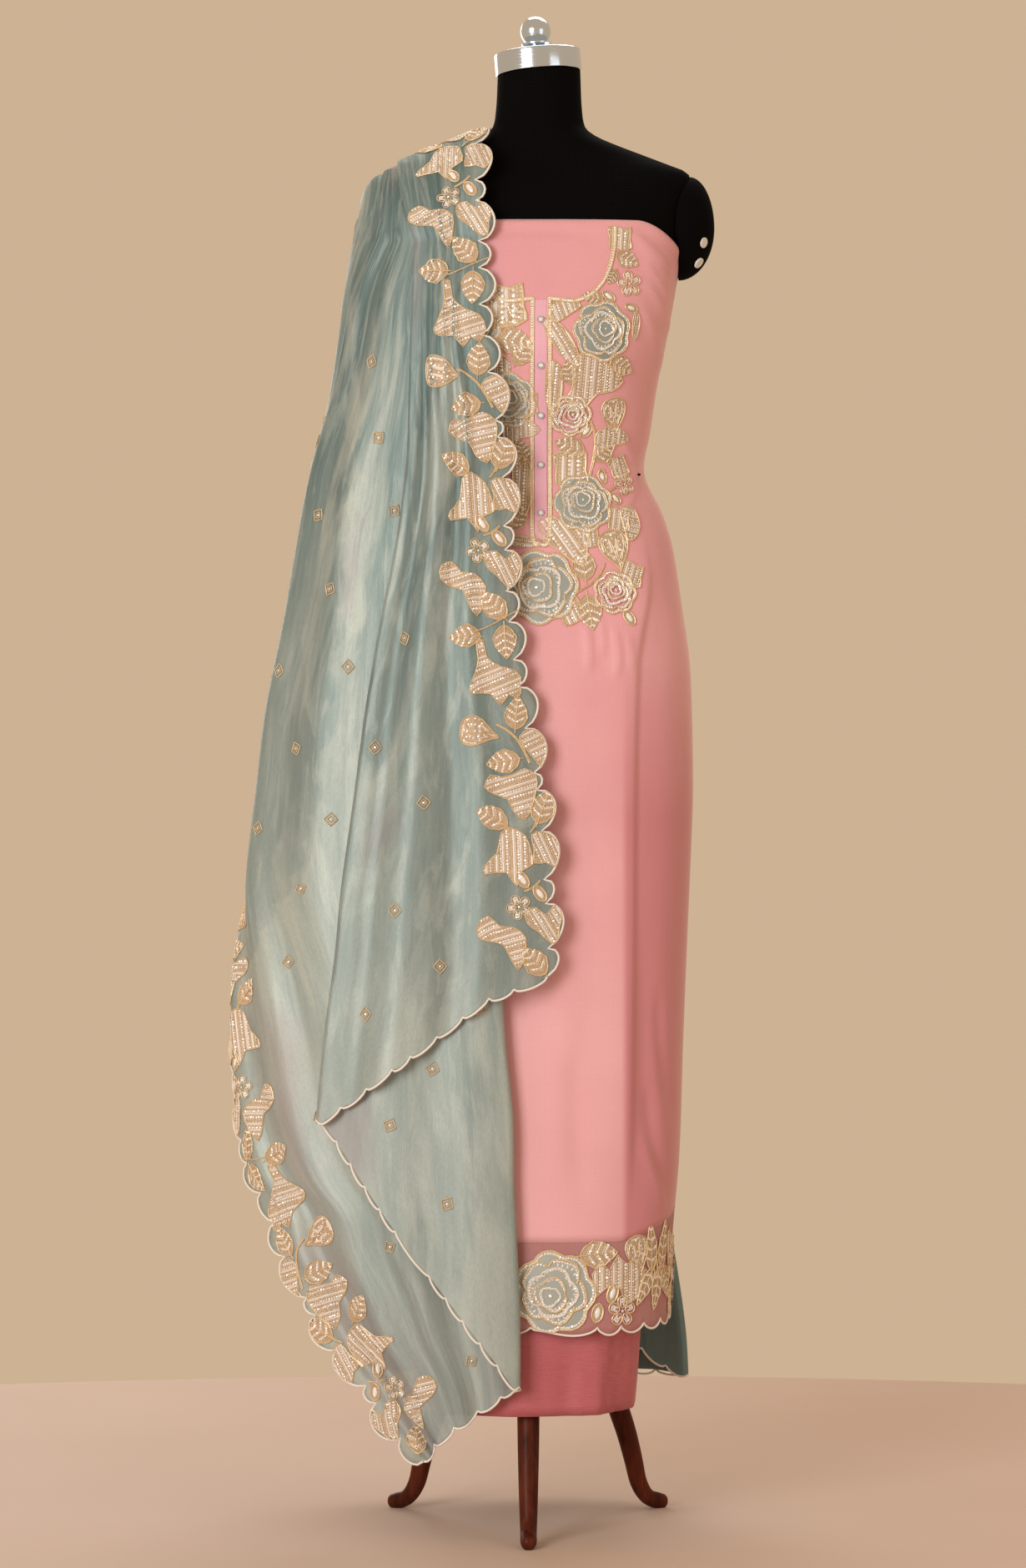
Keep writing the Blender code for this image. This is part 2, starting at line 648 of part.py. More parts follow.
def band_point(ends, part, edge, drop, inset):
    """A point of the band between two turns of the panel above, so that both share its faces."""
    pair = []
    for turn in ends:
        height = edge_height(turn, edge) + drop
        point = section(tube_row(height), turn, -inset)
        point.z = height
        pair.append(point)
    return pair[0].lerp(pair[1], part)


def build_hem_band(group):
    for front in (True, False):
        name = "kameez_hem_front" if front else "kameez_hem_back"
        turns = half_turns(front)
        fine = []
        for k in range(len(turns) - 1):
            fine += [(k, j / BAND_FACES) for j in range(BAND_FACES)]
        fine.append((len(turns) - 2, 1.0))
        outer, inner = [], []
        for inset, rows in ((BAND_THINNER, outer), (KAMEEZ_WALL - BAND_THINNER, inner)):
            seam, foot = [], []
            for k, part in fine:
                ends = turns[k], turns[k + 1]
                seam.append(band_point(ends, part, BAND_SEAM, -GAP, inset))
                point = band_point(ends, part, BAND_FOOT, 0.0, inset)
                place = (k + part) / (len(turns) - 1) * BAND_SCALLOPS
                point.z -= BAND_SCALLOP_DEPTH * abs(math.sin(math.pi * place)) ** 0.7
                foot.append(point)
            rows += [part_at_sides(seam, front), part_at_sides(foot, front)]
        add_mesh(group, name, *wall_between(inner, outer, closed=False), "band_organza")


def salwar_point(turn, height, inset):
    if height >= SALWAR_ON_FORM[0]:
        return form_point(turn, height, GAP + SALWAR_WALL - inset)
    top = [(z, 0.0, *[v + GAP + SALWAR_WALL for v in row[:3]], row[3]) for z, *row in FORM[:2]]
    middle, *row = along(list(SALWAR) + top, height)
    point = section(row, turn, -inset, middle)
    point.z = height
    return point


def build_salwar(group):
    turns = [2 * math.pi * k / AROUND for k in range(AROUND)]
    heights = SALWAR_FREE + SALWAR_ON_FORM
    outer = [[salwar_point(turn, height, 0.0) for turn in turns] for height in heights]
    inner = [[salwar_point(turn, height, SALWAR_WALL) for turn in turns] for height in heights]
    add_mesh(group, "salwar", *wall_between(inner, outer, closed=True), "salwar_rose")


# ---------------------------------------------------------------- kameez trims


def front_point(x, height, lift):
    """A point in front of the kameez at x, lifted off its outer face."""
    half, front, behind, squareness = tube_row(height)
    y = -(front + lift) * (1 - min(abs(x) / (half + lift), 1.0) ** squareness) ** (1 / squareness)
    return Vector((x, y, height))


def build_placket(group):
    half = PLACKET_WIDTH / 2
    outer, inner = [], []
    heights = [PLACKET_FOOT, *PLACKET_ROWS, PLACKET_TOP]
    for lift, rows in ((GAP + PLACKET_WALL, outer), (GAP, inner)):
        tip = [front_point(PLACKET_X + half * s * 0.2, PLACKET_POINT, lift) for s in (-1, 0, 1)]
        rows.append(tip)
        for height in heights:
            rows.append([front_point(PLACKET_X + half * s, height, lift) for s in (-1, 0, 1)])
    add_mesh(group, "kameez_placket", *wall_between(inner, outer, closed=False), "placket_pink")


def build_buttons(group):
    for number, height in enumerate(BUTTON_HEIGHTS, start=1):
        place = front_point(PLACKET_X, height, BUTTON_LIFT)
        name = f"kameez_button_{number}"
        button = turned(group, name, BUTTON_PROFILE, "crystal", place + SHIFT, steps=8)
        button.rotation_euler = (math.pi / 2, 0, 0)


def build_roses(group):
    """Cloth roses: lobed plates that follow the panel, thicker at the heart."""
    around, rings = 18, 2
    for number, (x, z, wide, high, lift) in enumerate(ROSES, start=1):
        outer, inner = [], []
        for r in range(rings, 0, -1):
            share = r / rings
            line_out, line_in = [], []
            for k in range(around):
                turn = 2 * math.pi * k / around
                lobe = 1 + ROSE_LOBE * math.cos(ROSE_LOBES * turn) * share
                px = x + wide * share * lobe * math.cos(turn)
                pz = z + high * share * lobe * math.sin(turn)
                line_out.append(front_point(px, pz, lift + ROSE_WALL + ROSE_HEART * (1 - share)))
                line_in.append(front_point(px, pz, lift))
            outer.append(line_out)
            inner.append(line_in)
        rings_all = inner[::-1] + outer
        add_mesh(group, f"kameez_rose_{number}", *ring_loft(rings_all), "rose_organza")


# ---------------------------------------------------------------- dupatta


def columns():
    """The panel and the share along it for each column, across the whole cloth."""
    made = []
    for name, count in PANELS:
        made += [(name, k / count) for k in range(count)]
    made.append((PANELS[-1][0], 1.0))
    return made


def swell(share, waves, deep):
    """A soft ripple that dies out at both ends of a panel."""
    return deep * math.sin(math.pi * share) * math.cos(2 * math.pi * waves * share)


def oval_depth(x, half, depth):
    return depth * math.sqrt(max(1 - (x / half) ** 2, 0.0))


def folded(panel, share, near, fold_b, fold_c, far, lift_out, lift_mid, relax=0.0):
    """Place across the wearer and lift off the envelope: folded back at b and again at c."""
    turn = math.pi * share
    if panel == "outer":
        ease = 1 - relax * max(1 - RELAX_RUN * share, 0.0)
        ripple = swell(share, OUTER_WAVES, OUTER_RIPPLE * lift_out)
        return mix(near, fold_b, share), lift_out * ease + ripple
    if panel == "fold b":
        radius = (lift_out - lift_mid) / 2
        return fold_b - radius * math.sin(turn), lift_mid + radius * (1 + math.cos(turn))
    if panel == "middle":
        return mix(fold_b, fold_c, share), lift_mid
    if panel == "fold c":
        radius = lift_mid / 2
        return fold_c + radius * math.sin(turn), radius * (1 + math.cos(turn))
    return mix(fold_c, far, share), 0.0


def fall_point(rows, facing, panel, share, height):
    """A point of the front fall, facing -1, or of the back fall, facing 1, and its lift."""
    near, fold_b, fold_c, half, far_turn, depth, lift_out, lift_mid = along(rows, height)
    if panel == "inner":
        start = math.acos(fold_c / half)
        turn = mix(start, math.radians(far_turn), share)
        ripple = swell(share, INNER_WAVES, INNER_RIPPLE) * (SPLIT - height)
        return Vector((half * math.cos(turn), facing * (depth * math.sin(turn) + ripple), height)), 0.0
    relax = NEAR_RELAX if facing < 0 else 0.0
    x, lift = folded(panel, share, near, fold_b, fold_c, 0.0, lift_out, lift_mid, relax)
    base = fold_b if panel == "fold b" else fold_c if panel == "fold c" else x
    return Vector((x, facing * (oval_depth(base, half, depth) + lift), height)), lift


def hem_height(heights, way_at, last_ease, panel, share):
    """Height of a hem along the cloth: at the near edge, on the way, at b, at c, at the far edge."""
    near, way, at_b, at_c, far = heights
    if panel == "outer":
        if share < way_at:
            return mix(near, way, share / way_at)
        return mix(way, at_b, (share - way_at) / (1 - way_at))
    if panel == "fold b":
        return at_b
    if panel == "middle":
        return mix(at_b, at_c, share)
    if panel == "fold c":
        return at_c
    return mix(at_c, far, share**last_ease)


def inside_body(x, y, height):
    """True inside the form or its shoulder cap."""
    if height < FORM[-1][0]:
        half, front, behind, squareness = straight(FORM, height)
        depth = behind if y > 0 else front
        if (abs(x) / half) ** squareness + (abs(y) / depth) ** squareness < 1:
            return True
    rise = height - CAP_MIDDLE.z
    spread = math.hypot(y / CAP_DEPTH, rise / CAP_HEIGHT)
    if spread >= 1:
        return False
    grow = 1 / max(spread, 0.01)
    foot = armhole_x(min(max(y * grow, -CAP_DEPTH), CAP_DEPTH), CAP_MIDDLE.z + rise * grow)
    return abs(x) < foot + (CAP_TIP - foot) * math.sqrt(1 - spread**2)


def body_radius(x, angle):
    """How far the body reaches from the split's height, at x and at an angle over the shoulder."""
    low, high = 0.0, 0.25
    x += CLEAR_ASIDE
    if not inside_body(x, 0.0, SPLIT + 0.0001):
        return 0.0
    for _ in range(24):
        middle = (low + high) / 2
        if inside_body(x, -middle * math.cos(angle), SPLIT + middle * math.sin(angle)):
            low = middle
        else:
            high = middle
    return high


def over_shoulder(rows, start, start_lift, crest, crest_lift, angle):
    """A point of the shoulder piece at an angle from its front edge, 0, to its back edge, pi."""
    weight = math.sin(angle) ** 0.8
    x = mix(start.x, crest, weight)
    lift = mix(start_lift, crest_lift, weight)
    half, depth = rows[-1][4], rows[-1][6]
    side = mix(abs(start.y) - start_lift, oval_depth(x, half, depth), min(weight * 2, 1.0))
    side = max(side, LEAST_SIDE)
    top = max(body_radius(x, math.pi / 2), LEAST_TOP) + CLEAR
    radius = 1 / math.sqrt((math.cos(angle) / side) ** 2 + (math.sin(angle) / top) ** 2)
    if 0.001 < angle < math.pi - 0.001:
        radius = max(radius, body_radius(x, angle) + CLEAR)
    height = SPLIT + max((radius + lift) * math.sin(angle), GAP / 2)
    return Vector((x, -(radius + lift) * math.cos(angle), height))


def fall_rows(rows, facing, hem, way_at, last_ease, count):
    """Rows of one fall from its hem to the split, and the lifts of its last row."""
    grid, lifts = [], []
    for r in range(count + 1):
        row = []
        for panel, share in columns():
            low = hem_height(hem, way_at, last_ease, panel, share)
            height = mix(low, SPLIT - GAP / 2, r / count)
            point, lift = fall_point(rows, facing, panel, share, height)
            row.append(point)
            if r == count:
                lifts.append(lift)
        grid.append(row)
    return grid, lifts


def dupatta_grids():
    """Rows of the three stretches, each from its lower or front edge."""
    hem = (HEM_FRONT, HEM_FRONT_WAY, HEM_FRONT_EASE)
    front, front_lifts = fall_rows(FALL_FRONT, -1, *hem, FRONT_ROWS)
    hem = (HEM_BACK, HEM_BACK_WAY, HEM_BACK_EASE)
    back, back_lifts = fall_rows(FALL_BACK, 1, *hem, BACK_ROWS)
    over = []
    for r in range(SHOULDER_ROWS + 1):
        angle = math.pi * r / SHOULDER_ROWS
        edge, lifts, rows = front[-1], front_lifts, FALL_FRONT
        if 2 * r > SHOULDER_ROWS:
            edge, lifts, rows = back[-1], back_lifts, FALL_BACK
        row = []
        for k, (panel, share) in enumerate(columns()):
            crest, crest_lift = folded(panel, share, *CREST, CREST_LIFT_OUT, CREST_LIFT_MID)
            row.append(over_shoulder(rows, edge[k], lifts[k], crest, crest_lift, angle))
        over.append(row)
    return front, over, back


def dense_line(line, longest):
    """Places on a polyline, each stretch cut into equal pieces no longer than given."""
    made = []
    for k in range(len(line) - 1):
        pieces = math.ceil((line[k + 1] - line[k]).length / longest)
        made += [(k, j / pieces) for j in range(pieces)]
    made.append((len(line) - 2, 1.0))
    return made


def edging(group, name, line, inward, normals, pitch, deep, longest):
    """A narrow wall along an edge of the cloth, with its outer side scalloped."""
    outer, inner = [], []
    run = 0.0
    last = None
    for k, share in dense_line(line, longest):
        point = line[k].lerp(line[k + 1], share)
        out = line[k].lerp(line[k + 1], share) - inward[k].lerp(inward[k + 1], share)
        out.normalize()
        normal = normals[k].lerp(normals[k + 1], share).normalized()
        if last is not None:
            run += (point - last).length
        last = point
        scallop = abs(math.sin(math.pi * run / pitch)) ** 0.75
        width = EDGE_WIDTH + deep * (scallop - 1)
        near, far = point + out * GAP, point + out * width
        half = normal * DUPATTA_WALL / 2
        outer.append([near + half, far + half])
        inner.append([near - half, far - half])
    add_mesh(group, name, *wall_between(inner, outer, closed=False), "dupatta_organza")


def build_dupatta(group):
    front, over, back = dupatta_grids()
    for name, grid, seams in (("front", front, (-1,)), ("shoulder", over, (0, -1)), ("back", back, (-1,))):
        add_mesh(group, f"dupatta_{name}", *cloth_wall(grid, DUPATTA_WALL, seams), "dupatta_organza")
    for side, grid in (("front", front), ("back", back)):
        normals = grid_normals(grid)
        for edge, at, beside in (("near", 0, 1), ("far", -1, -2)):
            line, inward = [row[at] for row in grid], [row[beside] for row in grid]
            edging(group, f"dupatta_edge_{edge}_{side}", line, inward, [row[at] for row in normals],
                   SCALLOP_PITCH, SCALLOP_DEPTH, EDGE_STEP)
        edging(group, f"dupatta_hem_{side}", grid[0], grid[1], normals[0], HEM_PITCH, HEM_DEPTH, HEM_STEP)


def main():
    clear_scene()
    group = new_collection("salwar_kameez_suit")
    build_torso(group)
    build_cap(group, "form_cap_right", 1)
    build_cap(group, "form_cap_left", -1)
    build_studs(group)
    build_neck(group)
    build_pole(group)
    for name, bearing in (("front", -90), ("right", 30), ("left", 150)):
        build_leg(group, f"stand_leg_{name}", math.radians(bearing))
    build_kameez(group)
    build_hem_band(group)
    build_salwar(group)
    build_placket(group)
    build_buttons(group)
    build_roses(group)
    build_dupatta(group)


main()
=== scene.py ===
# %% [markdown]
# A salwar kameez suit on its dress form. The kameez cloth is wrapped round the form, the bottom
# cloth hangs under it, and a sheer dupatta goes over one shoulder in loose pleats. Each piece
# is built as a lesson: what the real piece is, how it could be modelled, and why this way.

# %% Load the frame
import math
import random
from contextlib import contextmanager

import bmesh
import bpy
import numpy as np
from mathutils import Matrix, Vector
from mathutils.bvhtree import BVHTree


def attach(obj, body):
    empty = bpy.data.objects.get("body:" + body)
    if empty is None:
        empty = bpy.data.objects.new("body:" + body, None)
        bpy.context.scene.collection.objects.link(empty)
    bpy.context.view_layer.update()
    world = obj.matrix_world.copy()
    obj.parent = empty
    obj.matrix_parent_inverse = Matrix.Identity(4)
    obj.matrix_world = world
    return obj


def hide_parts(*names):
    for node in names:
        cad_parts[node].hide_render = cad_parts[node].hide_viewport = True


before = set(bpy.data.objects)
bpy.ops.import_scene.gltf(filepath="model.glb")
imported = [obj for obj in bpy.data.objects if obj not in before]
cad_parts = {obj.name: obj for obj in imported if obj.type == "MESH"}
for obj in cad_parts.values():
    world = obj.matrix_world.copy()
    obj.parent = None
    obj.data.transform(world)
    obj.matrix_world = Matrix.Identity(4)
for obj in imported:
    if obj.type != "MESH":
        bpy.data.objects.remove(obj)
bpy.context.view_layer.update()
random.seed(11)
SHIFT = Vector((0.0780, 0.0008, 0.0))  # the form's own axis, from the frame's origin
print("frame loaded:", len(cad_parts), "nodes")

# %% [markdown]
# Operators work on whatever is selected, so every step starts from a clean selection. Edit mode
# is entered and left in one place, so that no step can forget to leave it.


# %% Small helpers for operators
def deselect():
    if bpy.context.object and bpy.context.object.mode != "OBJECT":
        bpy.ops.object.mode_set(mode="OBJECT")
    bpy.ops.object.select_all(action="DESELECT")


def pick(*items):
    deselect()
    for item in items:
        item.select_set(True)
    bpy.context.view_layer.objects.active = items[-1]


@contextmanager
def edit_mode(item, start="SELECT"):
    """Edit mode on one piece, with all of it selected, or none, or what was picked before."""
    pick(item)
    bpy.ops.object.mode_set(mode="EDIT")
    if start:
        bpy.ops.mesh.select_all(action=start)
    yield
    bpy.ops.object.mode_set(mode="OBJECT")


def named(name):
    """Names the piece that an operator has just added, and its mesh."""
    made = bpy.context.object
    made.name = made.data.name = name
    return made


def new_object(name, data):
    """Puts mesh or curve data into the scene as an object."""
    made = bpy.data.objects.new(name, data)
    bpy.context.scene.collection.objects.link(made)
    return made


def from_bmesh(name, work, *looks):
    """An object from mesh code, with its materials."""
    mesh = bpy.data.meshes.new(name)
    work.to_mesh(mesh)
    work.free()
    for look in looks:
        mesh.materials.append(look)
    return new_object(name, mesh)


def settle(item):
    """Puts a piece's place into its mesh, so that its object sits at the origin."""
    pick(item)
    bpy.ops.object.transform_apply(location=True, rotation=True, scale=True)
    return item


def apply_all(item):
    pick(item)
    for modifier in list(item.modifiers):
        bpy.ops.object.modifier_apply(modifier=modifier.name)
    return item


def join(name, items):
    pick(*items)
    bpy.ops.object.join()
    return settle(named(name))


def smooth(item, degrees=None):
    pick(item)
    if degrees is None:
        bpy.ops.object.shade_smooth()
    else:
        bpy.ops.object.shade_smooth_by_angle(angle=math.radians(degrees))
    return item


def triangles(mesh):
    mesh.calc_loop_triangles()
    return len(mesh.loop_triangles)


def finish_piece(item, look, slot, *nodes):
    """Gives a piece its material and its place in the frame."""
    if look is not None:
        item.data.materials.clear()
        item.data.materials.append(look)
    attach(item, "root")
    if nodes:
        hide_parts(*nodes)
    size = " x ".join(f"{side * 1000:.0f}" for side in item.dimensions)
    print(f"{item.name}: {triangles(item.data)} triangles, {size} mm")
    return item


# %% [markdown]
# The camera stands five metres in front, level with the middle of the garment, with a long lens
# that keeps the form's proportions. It looks down by half a degree.

# %% Camera
CAMERA_AT, CAMERA_DIP = (0.0485, -4.9992, 0.89), math.radians(0.566)
LENS, SENSOR = 100.8, 36  # millimetres
bpy.ops.object.camera_add(location=CAMERA_AT, rotation=(math.pi / 2 - CAMERA_DIP, 0, 0))
camera = bpy.context.object
camera.data.sensor_fit = "VERTICAL"
camera.data.sensor_height = SENSOR
camera.data.lens = LENS
bpy.context.scene.camera = camera
print("camera:", camera.data.lens, "mm")

# %% [markdown]
# A large soft light stands at the front left, a weaker one fills from the right and one from
# above and behind lifts the shoulders off the background. The floor is plain.


# %% Lights and floor
def soft_light(name, place, aim, size, power, colour):
    deselect()
    bpy.ops.object.light_add(type="AREA", location=place)
    light = named(name)
    light.data.shape = "RECTANGLE"
    light.data.size, light.data.size_y = size
    light.data.energy = power
    light.data.color = colour
    light.rotation_euler = (Vector(aim) - Vector(place)).to_track_quat("-Z", "Y").to_euler()


COOL = (0.92, 0.97, 1.0)
soft_light("key_light", (-2.3, -3.9, 1.75), (0.05, 0, 0.85), (1.8, 2.6), 138, (0.93, 0.98, 1.0))
soft_light("fill_light", (2.6, -2.6, 1.4), (0.05, 0, 0.9), (1.6, 2.4), 10, (0.90, 0.96, 1.0))
soft_light("top_light", (0.3, 1.2, 3.2), (0.05, 0, 1.2), (1.8, 1.2), 26, COOL)
soft_light("back_light", (-1.2, 3.2, 1.6), (0.05, 0, 0.9), (1.6, 2.2), 34, COOL)
bpy.context.scene.view_settings.view_transform = "Standard"
world = bpy.data.worlds.new("studio")
bpy.context.scene.world = world
world.use_nodes = True
WARM_WALL = (0.61, 0.445, 0.296, 1)
world.node_tree.nodes["Background"].inputs["Color"].default_value = WARM_WALL

deselect()
FLOOR_MIDDLE, FLOOR_RADIUS = (0.05, -1.85, 0), 3.0
bpy.ops.mesh.primitive_circle_add(vertices=128, radius=FLOOR_RADIUS, fill_type="NGON", location=FLOOR_MIDDLE)
floor = named("floor")
print("lights and floor placed")

# %% [markdown]
# Every finish is made from nodes. These helpers add a node, wire it and return its output, so
# that a material reads as a short list of what it is made of.


# %% Material helpers
class Paint:
    """A material with one shader, and short ways to add nodes to it."""

    def __init__(self, name, colour, roughness, metallic=0.0, **more):
        self.made = bpy.data.materials.new(name)
        self.made.use_nodes = True
        self.tree = self.made.node_tree
        self.shader = self.tree.nodes["Principled BSDF"]
        self.made.diffuse_color = (*colour, 1)
        self.set("Base Color", (*colour, 1))
        self.set("Roughness", roughness)
        self.set("Metallic", metallic)
        for key, value in more.items():
            self.set(key.replace("_", " "), value)

    def set(self, socket, value):
        self.shader.inputs[socket].default_value = value

    def link(self, output, socket):
        self.tree.links.new(output, self.shader.inputs[socket])

    def add(self, kind, inputs=None, **settings):
        node = self.tree.nodes.new("ShaderNode" + kind)
        for key, value in settings.items():
            setattr(node, key, value)
        for key, value in (inputs or {}).items():
            if hasattr(value, "is_output"):
                self.tree.links.new(value, node.inputs[key])
            else:
                node.inputs[key].default_value = value
        return node

    def place(self, scale=(1, 1, 1), uv=False):
        """Object coordinates, or the cloth's own flat coordinates, in metres."""
        start = self.add("TexCoord").outputs["UV" if uv else "Object"]
        return self.add("Mapping", {"Vector": start, "Scale": scale}).outputs["Vector"]

    def parts_of_place(self):
        """The place on the object as separate X, Y and Z."""
        return self.add("SeparateXYZ", {"Vector": self.place()}).outputs

    def noise(self, vector, scale, detail=2.0, rough=0.5, distortion=0.0):
        inputs = {"Vector": vector, "Scale": scale, "Detail": detail, "Roughness": rough,
                  "Distortion": distortion}
        return self.add("TexNoise", inputs).outputs["Fac"]

    def wave(self, vector, scale, distortion=0.0, across="X"):
        inputs = {"Vector": vector, "Scale": scale, "Distortion": distortion, "Detail": 1.0}
        return self.add("TexWave", inputs, bands_direction=across).outputs["Fac"]

    def math(self, how, a, b=0.0):
        return self.add("Math", {0: a, 1: b}, operation=how).outputs[0]

    def span(self, value, low, high, to_low=0.0, to_high=1.0):
        inputs = {"Value": value, "From Min": low, "From Max": high, "To Min": to_low, "To Max": to_high}
        return self.add("MapRange", inputs).outputs["Result"]

    def blend(self, share, low, high):
        node = self.add("Mix", data_type="RGBA")
        for key, value in ((0, share), (6, low), (7, high)):
            if hasattr(value, "is_output"):
                self.tree.links.new(value, node.inputs[key])
            else:
                node.inputs[key].default_value = value if key == 0 else (*value, 1)
        return node.outputs[2]

    def bump(self, height, strength, distance):
        inputs = {"Height": height, "Strength": strength, "Distance": distance}
        self.link(self.add("Bump", inputs).outputs["Normal"], "Normal")


print("material helpers ready")

# %% [markdown]
# Woven cloth is two sets of threads. Two fine waves at right angles, averaged, give the bumps
# of the weave; slow noise varies the dye, as on a hand-dyed silk blend. The flat coordinates are
# in metres, so a thread is the same size on every piece.


# %% Woven cloth
def weave(paint, vector, threads):
    """The height of a plain weave, from 0 to 1, with a number of threads in each metre."""
    warp = paint.wave(vector, threads / 6.3, 0.6, "X")
    weft = paint.wave(vector, threads / 6.3, 0.6, "Y")
    return paint.math("MULTIPLY", paint.math("ADD", warp, weft), 0.5)


THREAD = 0.0003  # how far the threads of a cloth stand up, in metres


def cloth_paint(name, colour, dark, light, roughness, threads=900, bump=0.25, slub=0.35, **more):
    paint = Paint(name, colour, roughness, **more)
    flat = paint.place(uv=True)
    slubs = paint.noise(paint.place((60, 900, 1), uv=True), 1.0, 3.0)
    clouds = paint.noise(flat, 7.0, 3.0)
    tone = paint.blend(paint.span(clouds, 0.3, 0.7), dark, light)
    tone = paint.blend(paint.span(slubs, 0.35, 0.75, 0.0, slub), tone, dark)
    grain = paint.noise(flat, 620, 2.0, 0.7)
    tone = paint.blend(paint.span(grain, 0.55, 0.75, 0.0, 0.5), tone, light)
    tone = paint.blend(paint.span(grain, 0.45, 0.25, 0.0, 0.4), tone, dark)
    paint.link(tone, "Base Color")
    height = paint.math("ADD", weave(paint, flat, threads), paint.math("MULTIPLY", slubs, 0.8))
    paint.bump(paint.math("ADD", height, grain), bump, THREAD)
    paint.tone = tone
    return paint


kameez_paint = cloth_paint(
    "kameez_silk_blend", (0.74, 0.35, 0.375), (0.69, 0.305, 0.333), (0.79, 0.39, 0.412), 0.6,
    Sheen_Weight=0.45, Sheen_Roughness=0.45, Sheen_Tint=(1.0, 0.84, 0.82, 1),
)
# The colour is paler low down. Past the long fold at the right it is deeper: painted shade, as the fold
# itself is only some millimetres deep, so most of its change of tone is painted here in the colour.
place = kameez_paint.parts_of_place()
lower = kameez_paint.span(place["Z"], 1.02, 0.55, 0.0, 0.36)
pale = kameez_paint.blend(lower, kameez_paint.tone, (0.82, 0.45, 0.455))
# Painted shade: the colour darkens right of the long fold, above the band, on the front.
painted_fold_shade = kameez_paint.span(place["X"], 0.169, 0.176)
painted_fold_shade = kameez_paint.math("MULTIPLY", painted_fold_shade, kameez_paint.span(place["Z"], 0.98, 0.80))
painted_fold_shade = kameez_paint.math("MULTIPLY", painted_fold_shade, kameez_paint.span(place["Y"], 0.03, -0.01))
deep = kameez_paint.blend(kameez_paint.math("MULTIPLY", painted_fold_shade, 0.8), pale, (0.56, 0.185, 0.205))
kameez_paint.link(deep, "Base Color")
salwar_paint = cloth_paint(
    "salwar_silk_blend", (0.54, 0.135, 0.155), (0.40, 0.085, 0.10), (0.62, 0.175, 0.195), 0.66,
    bump=0.5, slub=0.75,
    Sheen_Weight=0.15, Sheen_Roughness=0.4, Sheen_Tint=(1.0, 0.78, 0.74, 1),
)
placket_paint = cloth_paint(
    "placket_satin", (0.74, 0.39, 0.48), (0.70, 0.35, 0.44), (0.78, 0.43, 0.52), 0.5,
    Sheen_Weight=0.2,
)
print("woven cloths ready")

# %% [markdown]
# Tissue organza has a coloured warp and a metal weft. It is thin enough to see through, and its
# folds flash pale gold, partly from the shader and partly as painted highlights in the colour. The alpha is
# set so that one layer shows what is behind it faintly and two layers are nearly solid. The metal thread is
# a partly metallic shader with fine streaks.


# %% Sheer organza
METAL_TINT = (1.0, 0.95, 0.87, 1)
MAUVE, SHADED_CORNER_TEAL = (0.36, 0.30, 0.32), (0.085, 0.18, 0.185)


def organza_paint(name, dark, light, painted_highlight, alpha, metallic=0.28, roughness=0.48, two_tone_and_shaded_corner=False):
    paint = Paint(name, light, roughness, metallic, Specular_IOR_Level=0.3, Specular_Tint=METAL_TINT)

    def marks(across, along, *settings):
        """Noise with so many marks in a metre of the cloth, across it and along it."""
        return paint.noise(paint.place((across, along, 1), uv=True), 1.0, *settings)

    bands, patches = marks(10, 1.7, 2.0, 0.5, 0.7), marks(14, 4.5, 3.0, 0.6, 0.9)
    pleats, crinkle = marks(21, 3.4, 2.0, 0.5, 0.8), marks(62, 15, 4.0, 0.6, 0.6)
    streaks, grain = marks(230, 16, 3.0, 0.6), marks(700, 240, 2.0)
    place = paint.parts_of_place()
    # Painted light and shade: broad bands from dark to light, painted highlights in patches, pleats,
    # crinkles, streaks and towards the foot, and painted shade in the pleats and crinkles.
    tone = paint.blend(paint.span(bands, 0.41, 0.60), dark, light)
    for pattern, start, full, most, towards in (
        (patches, 0.50, 0.64, 0.65, painted_highlight), (pleats, 0.58, 0.64, 0.22, painted_highlight),
        (crinkle, 0.52, 0.62, 0.34, painted_highlight), (crinkle, 0.46, 0.36, 0.30, dark),
        (place["Z"], 1.35, 0.55, 0.46, painted_highlight), (pleats, 0.42, 0.34, 0.25, dark),
        (streaks, 0.45, 0.75, 0.22, painted_highlight), (grain, 0.4, 0.7, 0.16, dark),
    ):
        tone = paint.blend(paint.span(pattern, start, full, 0.0, most), tone, towards)
    if two_tone_and_shaded_corner:  # the weft is mauve, and the corner that hangs behind the right side is deeper
        tone = paint.blend(paint.span(marks(7, 2.6, 2.0, 0.5, 0.5), 0.55, 0.66, 0.0, 0.45), tone, MAUVE)
        # Painted shade: the corner that hangs behind the right side is tinted deep teal and made less sheer,
        # as it hangs in shade.
        aside, behind = paint.span(place["X"], 0.10, 0.17), paint.span(place["Y"], 0.02, 0.06)
        shaded_corner = paint.math("MULTIPLY", aside, behind)
        tone = paint.blend(paint.math("MULTIPLY", shaded_corner, 0.8), tone, SHADED_CORNER_TEAL)
        paint.link(paint.span(shaded_corner, 0.0, 1.0, alpha, 0.95), "Alpha")
    else:
        paint.set("Alpha", alpha)
    paint.link(tone, "Base Color")
    flat = paint.place(uv=True)
    threads = paint.math("ADD", weave(paint, flat, 1100), paint.math("MULTIPLY", streaks, 0.9))
    threads = paint.math("ADD", paint.math("ADD", threads, grain), paint.math("MULTIPLY", crinkle, 9.0))
    paint.bump(threads, 0.3, THREAD)
    return paint


